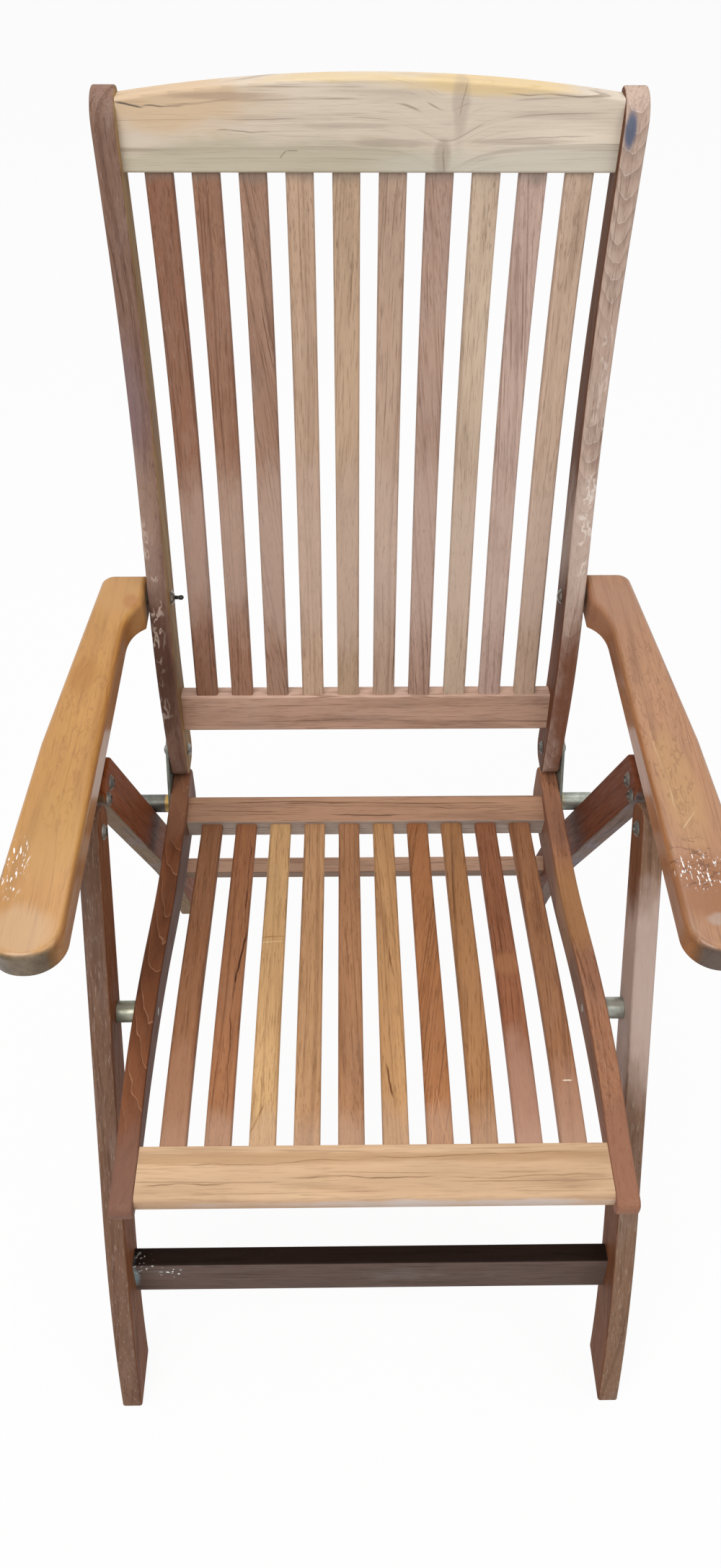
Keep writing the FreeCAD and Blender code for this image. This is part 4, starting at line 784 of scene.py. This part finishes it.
# Arms, with what is left of their varnish, painted highlights near their tips, and painted shade on their
# inner faces and on the front faces of their tips
ARM_TOP = 0.65
arm_wood = dict(gap=0.0060, turn=10.0, wave=0.016, gloss=0.6)
board(
    "left_armrest",
    "#b8864b",
    ARM,
    seed=59.9,
    lines=0.20,
    fibre=0.35,
    grey=0.0,
    red=0.30,
    wear=0.05,
    # Painted shade: the inner face is darker, and the front face of the tip much darker
    face_light_and_shade=[(TO_RIGHT, (0.66, 0.54, 0.40)), (TO_FRONT, (0.17, 0.21, 0.27))],
    spots=[
        Spot((-0.25, 0.22, ARM_TOP), (0.06, 0.05, 0.05), "#c0915c", 0.7),
        Spot((-0.275, 0.09, ARM_TOP), (0.018, 0.035, 0.05), "#a87234", 0.6),
        Spot((-0.250, 0.06, ARM_TOP), (0.010, 0.16, 0.05), "#a8702f", 0.4),
        Spot((-0.270, -0.10, ARM_TOP), (0.030, 0.07, 0.05), "#b78b4d", 0.5),
        # Painted sheen: a pale gloss patch near the tip
        Spot((-0.285, -0.215, ARM_TOP), (0.045, 0.030, 0.05), "#cdb497", 0.35),
        Spot((-0.238, 0.095, ARM_TOP), (0.005, 0.010, 0.05), "#8a4f1c", 0.6),
        Spot((-0.245, 0.02, ARM_TOP), (0.004, 0.015, 0.05), "#8f5724", 0.5),
        Spot((-0.245, 0.205, ARM_TOP), (0.010, 0.015, 0.05), "#a86a3a", 0.5),
    ],
    strokes=[
        top_line((-0.247, 0.16), (-0.251, 0.02), 0.0013, "#8f5724", 0.5),
        top_line((-0.258, 0.12), (-0.262, 0.05), 0.0009, "#9b6530", 0.4),
        top_line((-0.238, -0.145), (-0.236, -0.185), 0.0012, "#76481f", 0.6),
    ],
    scratches=[
        # Painted glints of light near the tip
        specks((-0.297, -0.150, 0.655), (0.014, 0.04, 0.02), "#ffffff", 0.95, scale=(120, 560)),
        curls((-0.268, 0.02, ARM_TOP), (0.03, 0.18, 0.05), "#8c5a28", 0.30, scale=(60, 210)),
    ],
    **arm_wood,
)
board(
    "right_armrest",
    "#a87b5b",
    ARM,
    seed=60.7,
    lines=0.22,
    fibre=0.45,
    grey=0.10,
    red=0.15,
    wear=0.10,
    # Painted shade: the inner face is darker, and the front face of the tip much darker
    face_light_and_shade=[(TO_LEFT, (0.80, 0.62, 0.38)), (TO_FRONT, (0.25, 0.30, 0.40))],
    spots=[
        Spot((0.272, -0.06, ARM_TOP), (0.024, 0.09, 0.05), "#b78d60", 0.7),
        Spot((0.245, 0.20, ARM_TOP), (0.06, 0.05, 0.05), "#a47a63", 0.5),
        Spot((0.268, -0.175, ARM_TOP), (0.05, 0.045, 0.05), "#905c37", 0.75),
        # Painted highlight: a pale greyish band at the tip
        Spot((0.280, -0.208, ARM_TOP), (0.02, 0.008, 0.05), "#b3a397", 0.5),
    ],
    strokes=[
        top_line((0.258, 0.02), (0.262, -0.10), 0.0008, "#cbb088", 0.5),
        top_line((0.264, -0.115), (0.280, -0.09), 0.0008, "#d2b88c", 0.6),
    ],
    scratches=[
        # Painted glints of light near the tip
        specks((0.270, -0.158, 0.655), (0.028, 0.026, 0.02), "#ffffff", 0.95, scale=(170, 560)),
        curls((0.268, -0.150, 0.655), (0.034, 0.036, 0.02), "#5d3319", 0.6, scale=(170, 90)),
        curls((0.268, 0.02, ARM_TOP), (0.03, 0.18, 0.05), "#7a5236", 0.35, scale=(60, 210)),
    ],
    **arm_wood,
)
for seed, name in ((61.3, "left_arm_rack"), (62.3, "right_arm_rack")):
    board(name, "#8b5d40", ARM, seed, lines=0.4, wear=0.6)

# Legs: paler in front, with painted shade that makes the inner faces of the front legs darker and redder,
# and a painted grey shade on the front faces of the rear legs
front_leg_wood = dict(lines=0.35, turn=35.0, grey=0.35, red=0.15, wear=0.75, flecks=0.2)
rear_leg_wood = dict(lines=0.40, turn=60.0, red=0.35, wear=0.6)
board(
    "left_front_leg",
    "#7a5b49",
    FRONT_LEG,
    seed=63.1,
    # Painted shade: the inner face is darker and redder
    face_light_and_shade=[(TO_RIGHT, (0.86, 0.54, 0.30))],
    **front_leg_wood,
)
board(
    "right_front_leg",
    "#856651",
    FRONT_LEG,
    seed=64.3,
    # Painted shade: the inner face is darker and redder
    face_light_and_shade=[(TO_LEFT, (0.68, 0.42, 0.26))],
    spots=[Spot((0.26, -0.12, 0.42), (0.08, 0.14, 0.14), "#c0aa9f", 0.85)],
    **front_leg_wood,
)
board(
    "left_rear_leg",
    "#7c411c",
    REAR_LEG,
    seed=65.9,
    grey=0.10,
    # Painted shade: the front face is grey
    face_light_and_shade=[(REAR_LEG_FRONT, (1.05, 2.5, 6.0))],
    **rear_leg_wood,
)
board(
    "right_rear_leg",
    "#703d24",
    REAR_LEG,
    seed=66.7,
    grey=0.15,
    # Painted shade: the front face is grey
    face_light_and_shade=[(REAR_LEG_FRONT, (1.25, 2.8, 5.6))],
    **rear_leg_wood,
)

# Stretchers, the front one with specks of paint at its left end and a painted shadow on its top, the rear
# one with painted shade on its front face
board(
    "front_stretcher",
    "#625048",
    X,
    seed=67.7,
    lines=0.35,
    gap=0.0034,
    turn=70.0,
    grey=0.35,
    red=0.1,
    wear=0.85,
    # Painted shadow: the top face, under the seat, is very dark
    face_light_and_shade=[(TO_TOP, (0.11, 0.07, 0.045))],
    spots=[Spot((-0.250, -0.29, 0.148), (0.009, 0.03, 0.024), "#93a9ad", 0.85)],
    scratches=[
        specks((-0.238, -0.29, 0.160), (0.014, 0.03, 0.018), "#dfe4e4", 0.9, scale=(170, 170)),
        specks((-0.210, -0.29, 0.152), (0.014, 0.03, 0.014), "#eef2f3", 0.95, scale=(150, 150)),
    ],
)
board(
    "rear_stretcher",
    "#c6a087",
    X,
    seed=68.3,
    lines=0.4,
    gap=0.0034,
    turn=40.0,
    grey=0.45,
    red=0.15,
    wear=0.7,
    # Painted shade: the front face is darker
    face_light_and_shade=[(REAR_STRETCHER_FRONT, (0.5, 0.5, 0.5))],
)

# Plates, bolts, nuts, pins and washers
plate_steel = metal("plate_steel", "#8b8f86", dull="#6c7068", stain="#4c4a40", rough=0.45)
for name in ("left_hinge_plate", "right_hinge_plate", "left_top_plate", "right_top_plate"):
    paint(name, plate_steel)
bolt_steel = metal("bolt_steel", "#8b8881", dull="#5c5955", stain="#3d372f", rough=0.28)
for name in (
    "rear_support_bolts",
    "leg_pivot_bolts",
    "back_hinge_bolts",
    "back_hinge_nuts",
    "arm_pivot_bolts",
    "top_pivot_bolts",
    "top_pivot_nuts",
    "top_plate_bolts",
    "top_plate_nuts",
):
    paint(name, bolt_steel)
ZINC = dict(tone="#b3b5ac", dull="#8b9086", stain="#66624f", rough=0.28)
zinc = metal("zinc", **ZINC)
for name in ("arm_stop_pins", "arm_pivot_washers"):
    paint(name, zinc)

# Tubes: the left ones are darker, and the collars at the inner ends of the rear ones are brassy
front_bands = [Band(-0.3, 0.0, "#8b8a6a", 0.45)]
rear_bands = [
    Band(-0.3, -0.2385, "#4b4943", 0.75),
    Band(-0.2385, -0.23, "#b8924a", 0.85),
    Band(0.23, 0.237, "#b0a070", 0.6),
]
paint("front_spacer_tubes", metal("spacer_zinc", bands=front_bands, **ZINC))
paint("rear_support_tubes", metal("support_zinc", bands=rear_bands, **ZINC))

# The left arm bolt ends in a short dark stem with a knob, at these distances from the stile's inner face
STEM_RADIUS = 0.0020
STEM_LENGTH = 0.0070
STEM_FROM_STILE = 0.0070
KNOB_RADIUS = 0.0030
KNOB_FROM_STILE = 0.0102
KNOB_FLATNESS = (1.0, 1.0, 0.8)
pivots = {joint["name"]: joint["pos_m"] for joint in frame["record"]["behaviour"]["joints"]}
stile_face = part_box("left_back_stile")[1].x
bolt_axis = pivots["arm_tilt"][1:]
bpy.ops.mesh.primitive_cylinder_add(
    vertices=32,
    radius=STEM_RADIUS,
    depth=STEM_LENGTH,
    location=(stile_face + STEM_FROM_STILE, *bolt_axis),
    rotation=(0.0, math.pi / 2, 0.0),
)
stem = bpy.context.object
stem.name = "left_arm_bolt_stem"
bpy.ops.mesh.primitive_uv_sphere_add(
    segments=32,
    ring_count=16,
    radius=KNOB_RADIUS,
    location=(stile_face + KNOB_FROM_STILE, *bolt_axis),
)
knob = bpy.context.object
knob.name = "left_arm_bolt_knob"
knob.scale = KNOB_FLATNESS
knob_steel = metal("knob_steel", "#4a4640", dull="#35322d", stain="#26231f", rough=0.30)
for part in (stem, knob):
    part.data.materials.append(knob_steel)
    part.data.shade_smooth()
    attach(part, "arm_bolts")

# Floor: pale and matt, with the object's shadow, and nearly plain white for the camera
FLOOR_TONE = (0.86, 0.86, 0.86)
FLOOR_WHITE = 0.94
FLOOR_SIZE = 40.0
FLOOR_DROP = 0.0005
floor_paint, graph = new_material("floor_paint")
matt = graph.coloured("ShaderNodeBsdfDiffuse", FLOOR_TONE)
plain = graph.coloured("ShaderNodeEmission", WHITE)
graph.output(graph.mix_shaders(graph.background_share(FLOOR_WHITE), matt, plain))
bpy.ops.mesh.primitive_plane_add(size=FLOOR_SIZE, location=(0.0, 0.0, -FLOOR_DROP))
floor = bpy.context.object
floor.name = "floor"
floor.data.materials.append(floor_paint)

# World: soft white light, and plain white behind the object
SOFT_LIGHT = 0.40
PLAIN_WHITE = 1.0
world = bpy.data.worlds.new("studio")
world.use_nodes = True
bpy.context.scene.world = world
graph = Graph(world)
soft = graph.coloured("ShaderNodeBackground", WHITE, Strength=SOFT_LIGHT)
backdrop = graph.coloured("ShaderNodeBackground", WHITE, Strength=PLAIN_WHITE)
graph.output(graph.mix_shaders(graph.background_share(), soft, backdrop), "ShaderNodeOutputWorld")


def lamp(name, place, target, size, watts):
    data = bpy.data.lights.new(name, "AREA")
    data.shape = "RECTANGLE"
    data.size, data.size_y = size
    data.energy = watts
    lamp_object = bpy.data.objects.new(name, data)
    bpy.context.collection.objects.link(lamp_object)
    lamp_object.location = place
    lamp_object.rotation_euler = (Vector(target) - Vector(place)).to_track_quat("-Z", "Y").to_euler()


lamp("key", place=(-1.2, -1.6, 3.2), target=(0.0, 0.0, 0.5), size=(2.0, 2.0), watts=62.0)
lamp("fill", place=(2.0, -1.2, 2.6), target=(0.0, 0.0, 0.5), size=(2.2, 2.2), watts=26.0)
lamp("top", place=(0.0, 1.2, 3.4), target=(0.0, 0.1, 0.4), size=(2.4, 1.6), watts=24.0)

# Camera, fitted to the photograph, where PX is in pixels of the photo
PHOTO_HEIGHT_PX = 2174.0
FOCAL_LENGTH_PX = 1633.0
SENSOR_HEIGHT_MM = 36.0
CAMERA_PLACE = (-0.023, -0.783, 1.396)
PITCH_DOWN, YAW, ROLL = math.radians(45.7), math.radians(-1.0), math.radians(0.4)
camera_data = bpy.data.cameras.new("camera")
camera_data.sensor_fit = "VERTICAL"
camera_data.sensor_height = SENSOR_HEIGHT_MM
camera_data.lens = FOCAL_LENGTH_PX / PHOTO_HEIGHT_PX * SENSOR_HEIGHT_MM
camera_data.clip_start = 0.05
camera = bpy.data.objects.new("camera", camera_data)
bpy.context.collection.objects.link(camera)
aim = Matrix.Rotation(YAW, 4, "Z") @ Matrix.Rotation(math.pi / 2 - PITCH_DOWN, 4, "X")
camera.matrix_world = Matrix.Translation(CAMERA_PLACE) @ aim @ Matrix.Rotation(ROLL, 4, "Z")
bpy.context.scene.camera = camera

bpy.context.scene.view_settings.view_transform = "Standard"
